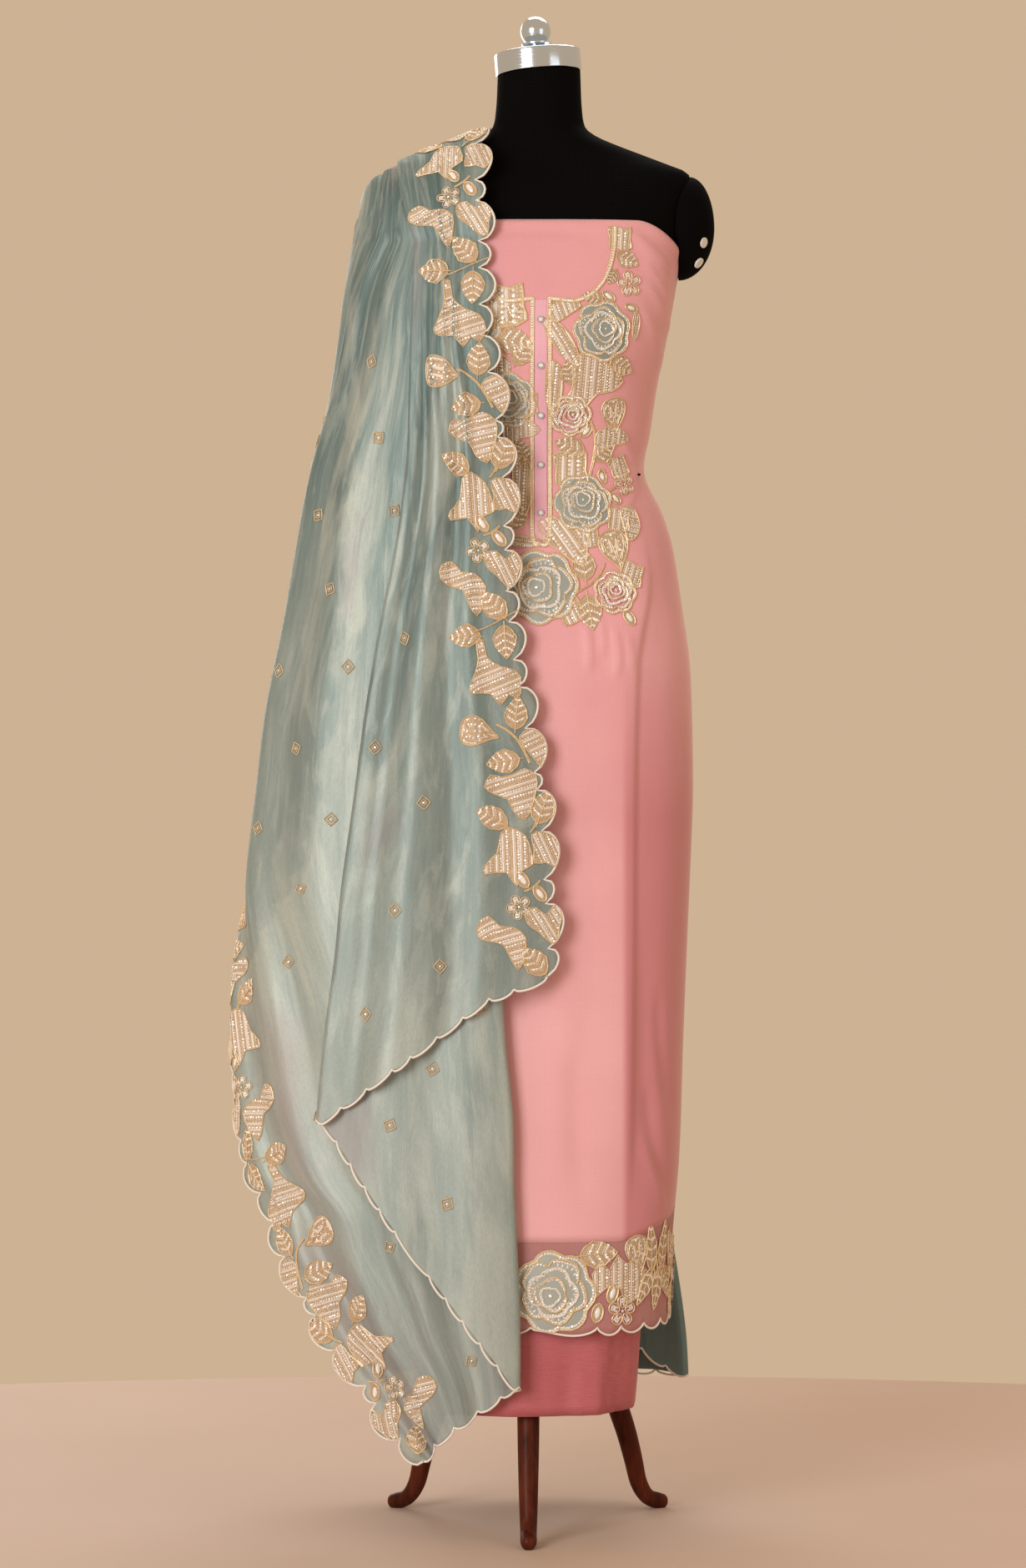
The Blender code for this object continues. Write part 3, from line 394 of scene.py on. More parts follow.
# The third colour of each organza is the colour of its painted highlights.
organza = organza_paint("dupatta_tissue_organza", (0.130, 0.205, 0.208), (0.245, 0.335, 0.325),
                        (0.56, 0.60, 0.545), 0.70, two_tone_and_shaded_corner=True)
band_paint = organza_paint("band_organza", (0.52, 0.21, 0.21), (0.58, 0.26, 0.255),
                           (0.61, 0.31, 0.30), 0.62, 0.1, 0.5)
rose_paint = organza_paint("rose_organza", (0.27, 0.31, 0.29), (0.38, 0.42, 0.39),
                           (0.54, 0.53, 0.47), 1.0, 0.25, 0.45)
print("organzas ready")

# %% [markdown]
# The threads and beads of the embroidery: twisted gold zari cord, ivory and old gold silk,
# faceted champagne sequins, small gold and silver beads, white cotton piping, and cut crystal.
# Each is a colour that wanders between a dark and a light tone. On a sequin that change is a painted glint,
# standing in for its shine, as no two lie at the same angle, and on a thread the same pattern is also the
# bump.


# %% Threads, sequins and crystal
def varied(name, colour, roughness, metallic, pattern, dark, light, bump=None, **more):
    """A finish from one fine pattern: its kind, its scale, and how much detail or swirl it has."""
    paint = Paint(name, colour, roughness, metallic, **more)
    kind, *settings = pattern
    marks = getattr(paint, kind)(paint.place(), *settings)
    paint.link(paint.blend(marks, dark, light), "Base Color")
    if bump:
        paint.bump(marks, *bump)
    return paint


zari = varied("zari_gold", (0.78, 0.60, 0.36), 0.48, 0.4, ("noise", 900, 1.0),
              (0.52, 0.34, 0.17), (0.97, 0.80, 0.52), (0.5, 0.0004))
silk = varied("ivory_silk", (0.84, 0.76, 0.68), 0.42, 0.1, ("wave", 420, 1.5, "DIAGONAL"),
              (0.66, 0.57, 0.49), (0.90, 0.84, 0.78), (0.4, 0.0003), Sheen_Weight=0.3)
fill = varied("silk_fill", (0.62, 0.47, 0.33), 0.5, 0.1, ("wave", 260, 2.0, "DIAGONAL"),
              (0.42, 0.28, 0.165), (0.64, 0.48, 0.33), (0.5, 0.0004))
# The sequin's light tone, near white, is its painted glint.
sequin = varied("champagne_sequin", (0.92, 0.86, 0.77), 0.22, 0.35, ("noise", 420, 0.0),
                (0.76, 0.63, 0.49), (1.0, 0.98, 0.95))
bead = varied("gold_bead", (0.80, 0.66, 0.48), 0.34, 0.35, ("noise", 500, 0.0),
              (0.58, 0.39, 0.22), (1.0, 0.92, 0.78))
pearl = varied("silver_bead", (0.88, 0.84, 0.76), 0.28, 0.25, ("noise", 600, 0.0),
               (0.72, 0.65, 0.56), (1.0, 0.98, 0.94))
piping_paint = varied("cotton_piping", (0.83, 0.76, 0.68), 0.7, 0.0, ("noise", 1500, 2.0),
                      (0.70, 0.62, 0.54), (0.90, 0.84, 0.77), (0.4, 0.0003))
crystal = varied("cut_crystal", (0.95, 0.93, 0.90), 0.15, 0.0, ("noise", 700, 0.0),
                 (0.68, 0.62, 0.56), (1.0, 0.98, 0.95), Coat_Weight=0.8)
print("threads, sequins and crystal ready")

# %% [markdown]
# The form is covered in black jersey that soaks up light. Its stand is turned and carved
# mahogany under varnish: long stretched noise gives the figure of the wood and a clear coat the
# polish. Neck cap and finial are chrome, and the floor is a plain pale surface.

# %% Form, stand and floor
jersey = Paint("black_jersey", (0.003, 0.0028, 0.0028), 0.82, Specular_IOR_Level=0.03)
courses, wales = (jersey.wave(jersey.place(), 130, 0.4, way) for way in ("X", "Z"))
knit = jersey.math("MULTIPLY", courses, wales)
jersey.link(jersey.blend(knit, (0.002, 0.0018, 0.0018), (0.005, 0.0045, 0.0045)), "Base Color")
jersey.bump(knit, 0.4, 0.0004)

wood = Paint("varnished_mahogany", (0.11, 0.022, 0.009), 0.45, Specular_IOR_Level=0.06, Coat_Weight=0.04,
             Coat_Roughness=0.15)
figure = wood.noise(wood.place((45, 45, 3.5)), 1.6, 6.0, 0.6)
pores = wood.noise(wood.place((420, 420, 18)), 1.0, 2.0)
tone = wood.blend(wood.span(figure, 0.32, 0.68), (0.030, 0.006, 0.003), (0.125, 0.025, 0.011))
wood.link(wood.blend(wood.span(pores, 0.55, 0.75, 0.0, 0.6), tone, (0.035, 0.008, 0.004)), "Base Color")
wood.bump(pores, 0.12, 0.0003)

chrome = Paint("polished_chrome", (0.66, 0.76, 0.88), 0.12, 1.0)
scratches = chrome.noise(chrome.place((40, 40, 900)), 1.0, 2.0)
chrome.link(chrome.span(scratches, 0.3, 0.7, 0.08, 0.2), "Roughness")

stud_paint = varied("ivory_stud", (0.76, 0.74, 0.70), 0.35, 0.0, ("noise", 260, 3.0),
                    (0.62, 0.60, 0.56), (0.84, 0.82, 0.78), Coat_Weight=0.3)
floor_paint = varied("pale_floor", (0.58, 0.44, 0.36), 0.7, 0.0, ("noise", 3.0, 4.0),
                     (0.56, 0.42, 0.34), (0.60, 0.46, 0.38), Specular_IOR_Level=0.1)
floor.data.materials.append(floor_paint.made)
print("form, stand and floor finishes ready")

# %% [markdown]
# The form is a body of squarish ovals. A table gives each height's half width, depth in front
# and behind, and how square the oval is; everything worn on the form starts from this table.

# %% The form's sections
FORM = (
    (0.79, 0.17, 0.119, 0.114, 2.5), (0.835, 0.1712, 0.121, 0.117, 2.5),
    (0.926, 0.1715, 0.122, 0.119, 2.4), (0.984, 0.1685, 0.12, 0.117, 2.4),
    (1.03, 0.162, 0.116, 0.112, 2.4), (1.111, 0.149, 0.104, 0.096, 2.3),
    (1.148, 0.1375, 0.096, 0.088, 2.2), (1.194, 0.117, 0.089, 0.082, 2.2),
    (1.243, 0.124, 0.096, 0.087, 2.2), (1.293, 0.1315, 0.11, 0.094, 2.2),
    (1.331, 0.1395, 0.117, 0.099, 2.3), (1.373, 0.1475, 0.112, 0.102, 2.4),
    (1.405, 0.153, 0.106, 0.103, 2.5), (1.442, 0.1587, 0.098, 0.101, 2.8),
    (1.479, 0.1625, 0.087, 0.095, 3.0), (1.509, 0.167, 0.074, 0.084, 3.0),
    (1.533, 0.17, 0.058, 0.068, 2.8), (1.5455, 0.142, 0.052, 0.06, 2.5),
    (1.5555, 0.116, 0.049, 0.057, 2.4), (1.5655, 0.09, 0.048, 0.056, 2.2),
    (1.575, 0.068, 0.048, 0.055, 2.0), (1.585, 0.054, 0.048, 0.053, 2.0),
    (1.605, 0.0492, 0.047, 0.05, 2.0), (1.648, 0.047, 0.046, 0.047, 2.0),
)
NECK_TILT = math.radians(4.6)


def mix(low, high, t):
    return low + (high - low) * t


def ease(value, low, high):
    """A smooth step from 0 below low to 1 above high."""
    t = min(max((value - low) / (high - low), 0.0), 1.0)
    return t * t * (3 - 2 * t)


def bump_at(value, middle, width):
    """A soft hump, 1 at its middle, that dies out about two widths away."""
    return math.exp(-(((value - middle) / width) ** 2))


def find_row(rows, height):
    """The height, kept inside a table, and the number of the row under it."""
    height = min(max(height, rows[0][0]), rows[-1][0])
    at = 0
    while at < len(rows) - 2 and height > rows[at + 1][0]:
        at += 1
    return height, at


def along(rows, height):
    """The table's columns at a height, on a smooth curve through its rows."""
    height, at = find_row(rows, height)
    low, high = rows[at], rows[at + 1]
    before, after = rows[max(at - 1, 0)], rows[min(at + 2, len(rows) - 1)]
    span = high[0] - low[0]
    t = (height - low[0]) / span
    values = []
    for column in range(1, len(low)):
        slope_low = (high[column] - before[column]) / (high[0] - before[0]) * span
        slope_high = (after[column] - low[column]) / (after[0] - low[0]) * span
        values.append(low[column] * (1 + 2 * t) * (1 - t) ** 2 + slope_low * t * (1 - t) ** 2
                      + high[column] * t * t * (3 - 2 * t) + slope_high * t * t * (t - 1))
    return values


def straight(rows, height):
    """The table's columns at a height, straight between its rows."""
    height, at = find_row(rows, height)
    low, high = rows[at], rows[at + 1]
    t = (height - low[0]) / (high[0] - low[0])
    return [mix(a, b, t) for a, b in zip(low[1:], high[1:])]


def section(row, turn, grow=0.0, middle=0.0):
    """A point of a squarish oval. Turn 0 is at +X and 270 degrees at the front."""
    half, front, behind, squareness = row
    cos, sin = math.cos(turn), math.sin(turn)
    depth = behind if sin > 0 else front
    x = math.copysign(abs(cos) ** (2 / squareness), cos) * (half + grow)
    y = math.copysign(abs(sin) ** (2 / squareness), sin) * (depth + grow)
    return Vector((middle + x, y, 0.0))


print("form table:", len(FORM), "heights")

# %% [markdown]
# Cloth, and the jersey on the form, starts as a flat grid, as a bolt of cloth does. Each point of
# the grid is then carried to its place in the drape. The grid's own flat coordinates, in
# metres, stay with the cloth as its UV map, so the weave follows the drape.


# %% A flat grid, draped
def lay_grid(name, across, up, place, flat=(1.0, 1.0), closed=False):
    """A grid of faces, whose points go to place(u, v), with u and v from 0 to 1."""
    deselect()
    bpy.ops.mesh.primitive_grid_add(x_subdivisions=across, y_subdivisions=up, size=1)
    cloth = named(name)
    points = np.zeros(len(cloth.data.vertices) * 3)
    cloth.data.vertices.foreach_get("co", points)
    points = points.reshape(-1, 3)
    for k, (x, y, _) in enumerate(points):
        points[k] = place(min(max(x + 0.5, 0.0), 1.0), min(max(y + 0.5, 0.0), 1.0))
    cloth.data.vertices.foreach_set("co", points.ravel())
    layer = cloth.data.uv_layers[0].data
    uv = np.zeros(len(layer) * 2)
    layer.foreach_get("uv", uv)
    uv = uv.reshape(-1, 2) * np.array(flat)
    layer.foreach_set("uv", uv.ravel())
    if closed:
        with edit_mode(cloth):
            bpy.ops.mesh.remove_doubles(threshold=0.00002)
    cloth.data.update()
    return cloth


def close_ends(item):
    """Fills the open ends of a tube with one face each."""
    with edit_mode(item, start="DESELECT"):
        bpy.ops.mesh.select_non_manifold()
        bpy.ops.mesh.edge_face_add()


def turn_outward(item, middle=None):
    """Faces outward: recalculated on a closed body, or away from a middle line on a sheet."""
    with edit_mode(item):
        bpy.ops.mesh.normals_make_consistent(inside=False)
    if middle is not None:
        inward = sum((p.normal.dot(p.center - middle(p.center)) < 0) for p in item.data.polygons)
        if inward > len(item.data.polygons) / 2:
            with edit_mode(item):
                bpy.ops.mesh.flip_normals()
    return item


def axis_at(point):
    """The point of the form's axis at the same height."""
    return Vector((SHIFT.x, SHIFT.y, point.z))


def thicken(item, wall, outward=0.0):
    """Gives a sheet a wall, from its own surface inward; outward is the share laid outside."""
    pick(item)
    solid = item.modifiers.new("wall", "SOLIDIFY")
    solid.thickness = wall
    solid.offset = -1 + 2 * outward
    solid.use_even_offset = False
    return apply_all(item)


print("grid helpers ready")

# %% [markdown]
# The jersey cover of the form is one tube with flat ends. Its seams are where the real cover is
# joined: down the middle of the front and back, round the foot of the neck and round each
# armhole. A seam is a narrow groove between two soft ridges, pressed into the surface.


# %% The form's body
def seam_groove(distance, deep=0.0009, width=0.0022):
    """A groove with a soft lip on each side."""
    return -deep * bump_at(distance, 0, width) + 0.4 * deep * bump_at(abs(distance), 2 * width, width)


def body_surface(u, v):
    height = mix(FORM[0][0], FORM[-1][0], v)
    turn = 2 * math.pi * u - math.pi / 2
    row = along(FORM, height)
    base = section(row, turn)
    base.z = height
    grow = 0.0
    if 0.8 < height < 1.59:
        grow += seam_groove(base.x) * ease(abs(base.y), 0.02, 0.04)
    grow += seam_groove(height - 1.5865 - 0.10 * abs(base.y) + 0.03 * abs(base.x))
    point = section(row, turn, grow)
    point.z = height + (base.x * math.tan(NECK_TILT) * ease(height, 1.60, 1.648))
    return point + SHIFT


torso = lay_grid("form_body", 100, 170, body_surface, (1.0, 0.9), closed=True)
close_ends(torso)
print("open ends closed:", [len(p.vertices) for p in torso.data.polygons if len(p.vertices) > 4])
turn_outward(torso)
smooth(torso, 40)
finish_piece(torso, jersey.made, "form_cloth", "form_torso")

# %% [markdown]
# Rounded caps close the armholes. Each is a quarter-round dome whose rim follows the form's side,
# so its foot is worked out from the form's own ovals. A piped seam runs round the rim.

# %% Shoulder caps
CAP_MIDDLE_Z, CAP_DEPTH, CAP_HEIGHT, CAP_TIP = 1.4720, 0.049, 0.0585, 0.1995


def armhole_x(y, height):
    """Half width of the cap's seat, off the form's side and the kameez tucked under it."""
    half, front, behind, squareness = straight(FORM, height)
    depth = behind if y > 0 else front
    side = half * (1 - min(abs(y) / depth, 1.0) ** squareness) ** (1 / squareness)
    return side + 0.0013 + 0.0034 * min(max((1.462 - height) / 0.012, 0.0), 1.0)


def cap_surface(turn, rise, side):
    spread = math.cos(rise * math.pi / 2)
    y, z = CAP_DEPTH * math.cos(turn), CAP_HEIGHT * math.sin(turn)
    foot = armhole_x(y, CAP_MIDDLE_Z + z)
    x = foot + (CAP_TIP - foot) * math.sin(rise * math.pi / 2)
    x += 0.0008 * bump_at(rise, 0.06, 0.03)
    return Vector((side * x, y * spread, CAP_MIDDLE_Z + z * spread))


for name, side in (("right", 1), ("left", -1)):
    cap = lay_grid("form_armhole_" + name, 64, 24,
                   lambda u, v: cap_surface(2 * math.pi * u, v, side) + SHIFT, (0.34, 0.08), closed=True)
    close_ends(cap)
    turn_outward(cap)
    smooth(cap, 45)
    finish_piece(cap, jersey.made, "form_cloth", "form_cap_" + name)

# %% [markdown]
# Two ivory studs sit on the right cap. A stud is a short cylinder with a bevelled rim and a
# shallow round recess, inset twice, and it is turned to lie on the dome.

# %% Studs
STUDS = ((206, 0.46, 0.0012), (236, 0.36, 0.0006))  # degrees round the rim, rise, lift
STUD_RADIUS, STUD_WALL, STUD_BEVEL = 0.0065, 0.0021, 0.0006


def make_stud(name, turn, rise, lift):
    place = cap_surface(math.radians(turn), rise, 1)
    round_it = cap_surface(math.radians(turn + 4), rise, 1) - place
    up_it = cap_surface(math.radians(turn), rise + 0.05, 1) - place
    out = up_it.cross(round_it).normalized()
    out = out if out.x > 0 else -out
    deselect()
    bpy.ops.mesh.primitive_cylinder_add(vertices=32, radius=STUD_RADIUS, depth=STUD_WALL)
    stud = named(name)
    with edit_mode(stud):
        bpy.ops.mesh.bevel(offset=STUD_BEVEL, segments=3, affect="EDGES")
    for polygon in stud.data.polygons:
        polygon.select = polygon.normal.z > 0.99 and polygon.area > 0.00002
    with edit_mode(stud, start=None):
        bpy.ops.mesh.select_mode(type="FACE")
        bpy.ops.mesh.inset(thickness=0.0016, depth=0)
        bpy.ops.mesh.inset(thickness=0.0006, depth=-0.0005)
    stud.rotation_euler = out.to_track_quat("Z", "Y").to_euler()
    stud.location = place + SHIFT + out * lift
    settle(stud)
    smooth(stud, 35)
    return finish_piece(stud, stud_paint.made, "stud_white", name)


for number, stud in enumerate(STUDS, start=1):
    make_stud(f"form_cap_stud_{number}", *stud)

# %% [markdown]
# Turned pieces, such as the chrome cap on the neck, its ball finial and the wooden hub, are half
# outlines spun about an axis. A circle of points is moved onto the outline and opened where it
# would close along the axis, then the spin operator makes the body.


# %% Spun bodies
def spun(name, profile, steps, place, tilt=0.0, sharp=35):
    """A body spun from (radius, height) points that start and end on the axis, then put in place."""
    deselect()
    bpy.ops.mesh.primitive_circle_add(vertices=len(profile), radius=1)
    body = named(name)
    for vertex, (radius, height) in zip(body.data.vertices, profile):
        vertex.co = (radius, 0, height)
    with edit_mode(body, start="DESELECT"):
        bpy.ops.mesh.select_mode(type="EDGE")
    for edge in body.data.edges:
        edge.select = set(edge.vertices) == {0, len(profile) - 1}
    with edit_mode(body, start=None):
        bpy.ops.mesh.delete(type="EDGE_FACE")
        bpy.ops.mesh.select_all(action="SELECT")
        bpy.ops.mesh.spin(steps=steps, angle=2 * math.pi, center=(0, 0, 0), axis=(0, 0, 1))
        bpy.ops.mesh.select_all(action="SELECT")
        bpy.ops.mesh.remove_doubles(threshold=0.00001)
        bpy.ops.mesh.normals_make_consistent(inside=False)
    body.rotation_euler = (0, tilt, 0)
    body.location = place
    return smooth(settle(body), sharp)


def arc(middle, radius, start, end, count):
    """Points on an arc of an outline, in degrees from the outward direction."""
    made = []
    for k in range(count + 1):
        angle = math.radians(mix(start, end, k / count))
        made.append((middle[0] + radius * math.cos(angle), middle[1] + radius * math.sin(angle)))
    return made


print("spinning helper ready")

# %% Neck cap and finial
NECK_TOP, FINIAL_RISE = 1.6483, 0.0253
neck_foot = Vector((0, 0, NECK_TOP)) + SHIFT
neck_up = Vector((math.sin(-NECK_TILT), 0, math.cos(NECK_TILT)))
cap_outline = [(0.0, 0.0250), (0.0435, 0.0250), *arc((0.0465, 0.0225), 0.0025, 90, 0, 5),
               (0.0490, 0.0030), *arc((0.0478, 0.0016), 0.0012, 0, -80, 3), (0.0440, 0.0), (0.0, 0.0)]
neck_cap = spun("neck_cap_chrome", cap_outline, 96, neck_foot, -NECK_TILT)
finish_piece(neck_cap, chrome.made, "chrome", "form_neck_cap")

ball = arc((0.0, 0.0225), 0.0172, 90, -44, 24)
ball[0] = (0.0, ball[0][1])
finial_outline = [*ball, (0.0125, 0.0100), (0.0172, 0.0092), (0.0172, 0.0076), (0.0150, 0.0062),
                  (0.0118, 0.0042), (0.0108, 0.0026), (0.0125, 0.0008), (0.0125, 0.0), (0.0, 0.0)]
finial = spun("neck_finial_ball", finial_outline, 64, neck_foot + neck_up * FINIAL_RISE, -NECK_TILT, 40)
finish_piece(finial, chrome.made, "chrome", "form_finial")

# %% [markdown]
# The stand has a turned hub and three carved cabriole legs. A leg is a round bar that swells at
# the knee, curves down and turns out into a slipper foot, flat underneath. Its centre line and
# thickness come from a table, with a ring of points at each step, so the curve stays smooth.

# %% Hub and legs
STAND_X = -0.0124
LEG = (
    (0.0288, 0.268, 0.013), (0.048, 0.264, 0.013), (0.072, 0.235, 0.013), (0.1, 0.18, 0.0128),
    (0.121, 0.12, 0.0122), (0.132, 0.09, 0.0116), (0.141, 0.059, 0.0108), (0.1475, 0.034, 0.01),
    (0.159, 0.016, 0.0092), (0.175, 0.009, 0.0092), (0.186, 0.008, 0.007),
)
FOOT_CUT = 0.0008
hub_outline = [(0.0, 0.306), (0.020, 0.306), (0.0225, 0.3045), *arc((0.0268, 0.2975), 0.0032, 60, -60, 6),
               (0.0262, 0.290), (0.0285, 0.286), (0.0285, 0.250), (0.0268, 0.246),
               *arc((0.0275, 0.2405), 0.0035, 60, -60, 6), (0.022, 0.2275), (0.020, 0.226), (0.0, 0.226)]
hub = spun("stand_hub_turned", hub_outline, 48, SHIFT + Vector((STAND_X, 0, 0)))
finish_piece(hub, wood.made, "wood", "stand_hub")


def leg_surface(u, v, bearing):
    out = Vector((math.cos(bearing), math.sin(bearing), 0))
    across = Vector((-out.y, out.x, 0))
    start, end = LEG[0][0], LEG[-1][0]
    reach = mix(start, end, v)
    height, half = along(LEG, reach)
    ahead, behind = min(reach + 0.001, end), max(reach - 0.001, start)
    rise = along(LEG, ahead)[0] - along(LEG, behind)[0]
    way = out if v == 0 else (out * (ahead - behind) + Vector((0, 0, rise))).normalized()
    normal = across.cross(way)
    turn = 2 * math.pi * u
    half *= 1 - 0.9 * ease(v, 0.985, 1.0)
    point = out * reach + Vector((STAND_X, 0, height)) + SHIFT
    point += (across * math.cos(turn) + normal * math.sin(turn)) * half
    point.z = max(point.z - FOOT_CUT, 0.0)
    return point


for name, degrees in (("front", -90), ("right", 30), ("left", 150)):
    leg = lay_grid("stand_leg_carved_" + name, 32, 90,
                   lambda u, v: leg_surface(u, v, math.radians(degrees)), (0.08, 0.4), closed=True)
    close_ends(leg)
    turn_outward(leg)
    smooth(leg, 50)
    finish_piece(leg, wood.made, "wood", "stand_leg_" + name)

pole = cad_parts["stand_pole"]
pole.data.materials.clear()
pole.data.materials.append(wood.made)
print("stand finished")

# %% [markdown]
# The kameez cloth is unstitched: it is wrapped round the form like a tube and pinned. Its
# surface is worked out from the form's ovals with a wall of cloth added, and below the form it
# hangs almost straight. Creases are humps and troughs added to the radius, each with its own
# place, run, width and depth, uneven as the real ones.

# %% The kameez tube
KAMEEZ_LOW = (  # height, half width, depth in front and behind, squareness
    (0.23, 0.149, 0.147, 0.142, 2.9), (0.328, 0.152, 0.1455, 0.14, 2.9),
    (0.422, 0.1596, 0.142, 0.138, 2.8), (0.555, 0.164, 0.137, 0.133, 2.7),
    (0.68, 0.169, 0.131, 0.127, 2.6),
)
OVER_BOTH, OVER_FORM = 0.0036, 0.0020  # the outer face, off the form, with and without the salwar


def worn_over(rows, room):
    return [(z, half + room, front + room, behind + room, square) for z, half, front, behind, square in rows]


TUBE = [*KAMEEZ_LOW, *worn_over(FORM[:2], OVER_BOTH), *worn_over(FORM[2:], OVER_FORM)]
# Edges: height in front, at the sides and behind, and the share of the front that is level
TOP_EDGE = (1.472, 1.441, 1.432, 0.55)
BAND_SEAM = (0.334, 0.360, 0.360, 0.45)
BAND_FOOT = (0.240, 0.246, 0.246, 0.3)


def edge_height(turn, edge):
    front, side, behind, flat = edge
    across = abs(math.cos(turn))
    if math.sin(turn) > 0:
        return mix(side, behind, 1 - across)
    return mix(front, side, (max(across - flat, 0.0) / (1 - flat)) ** 1.6)


def tube_point(turn, height, grow=0.0):
    point = section(along(TUBE, height), turn, grow)
    point.z = height
    return point


# Creases: x and height of one end, x and height of the other, width, depth (minus is a trough)
FRONT_CREASES = (
    # along the top edge and round the armholes
    (-0.13, 1.453, 0.1, 1.4575, 0.0036, 0.0022), (-0.1, 1.439, 0.07, 1.442, 0.0042, 0.0014),
    (0.098, 1.459, 0.149, 1.413, 0.0045, 0.0032), (0.108, 1.444, 0.15, 1.396, 0.004, 0.0028),
    (0.112, 1.429, 0.15, 1.377, 0.0045, 0.0032), (0.117, 1.406, 0.149, 1.35, 0.005, 0.0022),
    (0.112, 1.38, 0.138, 1.308, 0.006, 0.0018), (-0.104, 1.446, -0.149, 1.4, 0.0045, 0.0028),
    (-0.114, 1.422, -0.15, 1.37, 0.0045, 0.003), (-0.118, 1.39, -0.146, 1.33, 0.0055, 0.0018),
    # fanning out from the waist pins
    (0.115, 1.1945, 0.06, 1.212, 0.0042, 0.0026), (0.115, 1.194, 0.052, 1.196, 0.0036, 0.002),
    (0.115, 1.1935, 0.064, 1.179, 0.0042, 0.0028), (0.114, 1.193, 0.07, 1.158, 0.0045, 0.0022),
    (0.113, 1.1925, 0.09, 1.14, 0.0042, 0.002), (0.114, 1.196, 0.086, 1.246, 0.0045, 0.0022),
    (-0.115, 1.194, -0.06, 1.208, 0.0042, 0.0024), (-0.115, 1.193, -0.068, 1.174, 0.0045, 0.0022),
    # short upright folds at the hip, and longer ones down to the band
    (0.05, 1.022, 0.055, 0.964, 0.0045, 0.003), (0.066, 1.028, 0.069, 0.982, 0.004, 0.0022),
    (0.081, 1.02, 0.084, 0.956, 0.0045, 0.0028), (0.094, 1.012, 0.1, 0.964, 0.004, 0.0018),
    (-0.05, 1.0, -0.052, 0.94, 0.005, 0.002), (0.122, 0.51, 0.146, 0.37, 0.007, -0.003),
    (0.11, 0.45, 0.14, 0.362, 0.005, 0.0024), (0.134, 0.62, 0.15, 0.46, 0.006, -0.0024),
    (0.04, 0.56, 0.05, 0.37, 0.012, -0.0018), (-0.08, 0.52, -0.09, 0.37, 0.012, 0.0018),
    (0.0, 0.76, 0.01, 0.36, 0.018, 0.0018), (-0.04, 0.92, -0.06, 0.56, 0.015, 0.0016),
)
BACK_CREASES = (
    (-0.1, 1.418, 0.09, 1.421, 0.0035, -0.0016), (0.096, 1.42, 0.146, 1.385, 0.0045, -0.0015),
    (-0.098, 1.419, -0.146, 1.38, 0.0045, -0.0014), (0.11, 1.39, 0.138, 1.335, 0.005, 0.0019),
    (0.113, 1.194, 0.058, 1.212, 0.004, -0.0027), (0.113, 1.193, 0.064, 1.177, 0.004, -0.0026),
    (-0.113, 1.194, -0.062, 1.205, 0.004, -0.0026), (-0.113, 1.193, -0.068, 1.17, 0.0045, 0.0022),
    (0.02, 1.15, 0.028, 1.03, 0.01, -0.0029), (-0.024, 1.16, -0.034, 1.05, 0.009, -0.0024),
    (0.06, 0.98, 0.07, 0.68, 0.014, 0.0029), (-0.056, 0.92, -0.072, 0.58, 0.015, 0.0022),
    (0.01, 0.74, 0.014, 0.38, 0.017, -0.0022), (0.1, 0.66, 0.118, 0.37, 0.012, 0.0027),
    (-0.104, 0.62, -0.12, 0.37, 0.012, -0.0024),
)


def crease_lift(x, height, creases):
    """The sum of the creases at a place: each is a hump across its line, dying out at its ends."""
    lift = 0.0
    for x0, z0, x1, z1, width, deep in creases:
        if not min(x0, x1) - 4 * width < x < max(x0, x1) + 4 * width:
            continue
        if not min(z0, z1) - 4 * width < height < max(z0, z1) + 4 * width:
            continue
        run_x, run_z = x1 - x0, z1 - z0
        length = math.hypot(run_x, run_z)
        share = ((x - x0) * run_x + (height - z0) * run_z) / length**2
        off = ((x - x0) * run_z - (height - z0) * run_x) / length
        off += 0.1 * length * math.sin(math.pi * share) * (0.5 if deep > 0 else -0.3)
        fade = ease(share, -0.05, 0.25) * ease(1.05 - share, 0.0, 0.35)
        lift += deep * fade * bump_at(off, 0, width)
    return lift


def long_fold(x, height):
    """The soft turn of the cloth from front to side, running from the bust down to the band."""
    at = along(((0.33, 0.098), (0.60, 0.101), (0.97, 0.106), (1.07, 0.120), (1.14, 0.112)), height)[0]
    fade = ease(height, 0.34, 0.50) * (1 - ease(height, 1.04, 1.14))
    ridge = ease(x, at - 0.050, at) * (1 - ease(x, at - 0.001, at + 0.008))
    hollow = 0.0008 + 0.0032 * (1 - ease(height, 0.55, 0.72))
    return fade * (0.0040 * ridge - hollow * bump_at(x, at + 0.016, 0.014))


CLOSE_ABOVE, LEAST_GROW = 0.76, -0.0006  # above this it lies on the form, with no room for troughs
CHEST, CHEST_ROOM = (1.405, 1.43), 0.0008


def kameez_grow(turn, height, top):
    x = tube_point(turn, height).x
    front = math.sin(turn) < 0.0
    grow = crease_lift(x, height, FRONT_CREASES if front else BACK_CREASES)
    grow += long_fold(x, height) if front else 0.6 * long_fold(-x, height)
    grow += CHEST_ROOM * ease(height, *CHEST)
    down = top - height  # the turned-in hem along the top edge
    grow += 0.0012 * bump_at(down, 0.004, 0.004) - 0.0006 * bump_at(down, 0.0105, 0.0020)
    return max(grow, LEAST_GROW) if height > CLOSE_ABOVE else grow


print("kameez surface ready:", len(FRONT_CREASES) + len(BACK_CREASES), "creases")

# %% [markdown]
# The tube is made as a front and a back panel that meet at the sides. One surface serves both,
# and the front is laid a little way over the back. A modifier then gives each its wall.

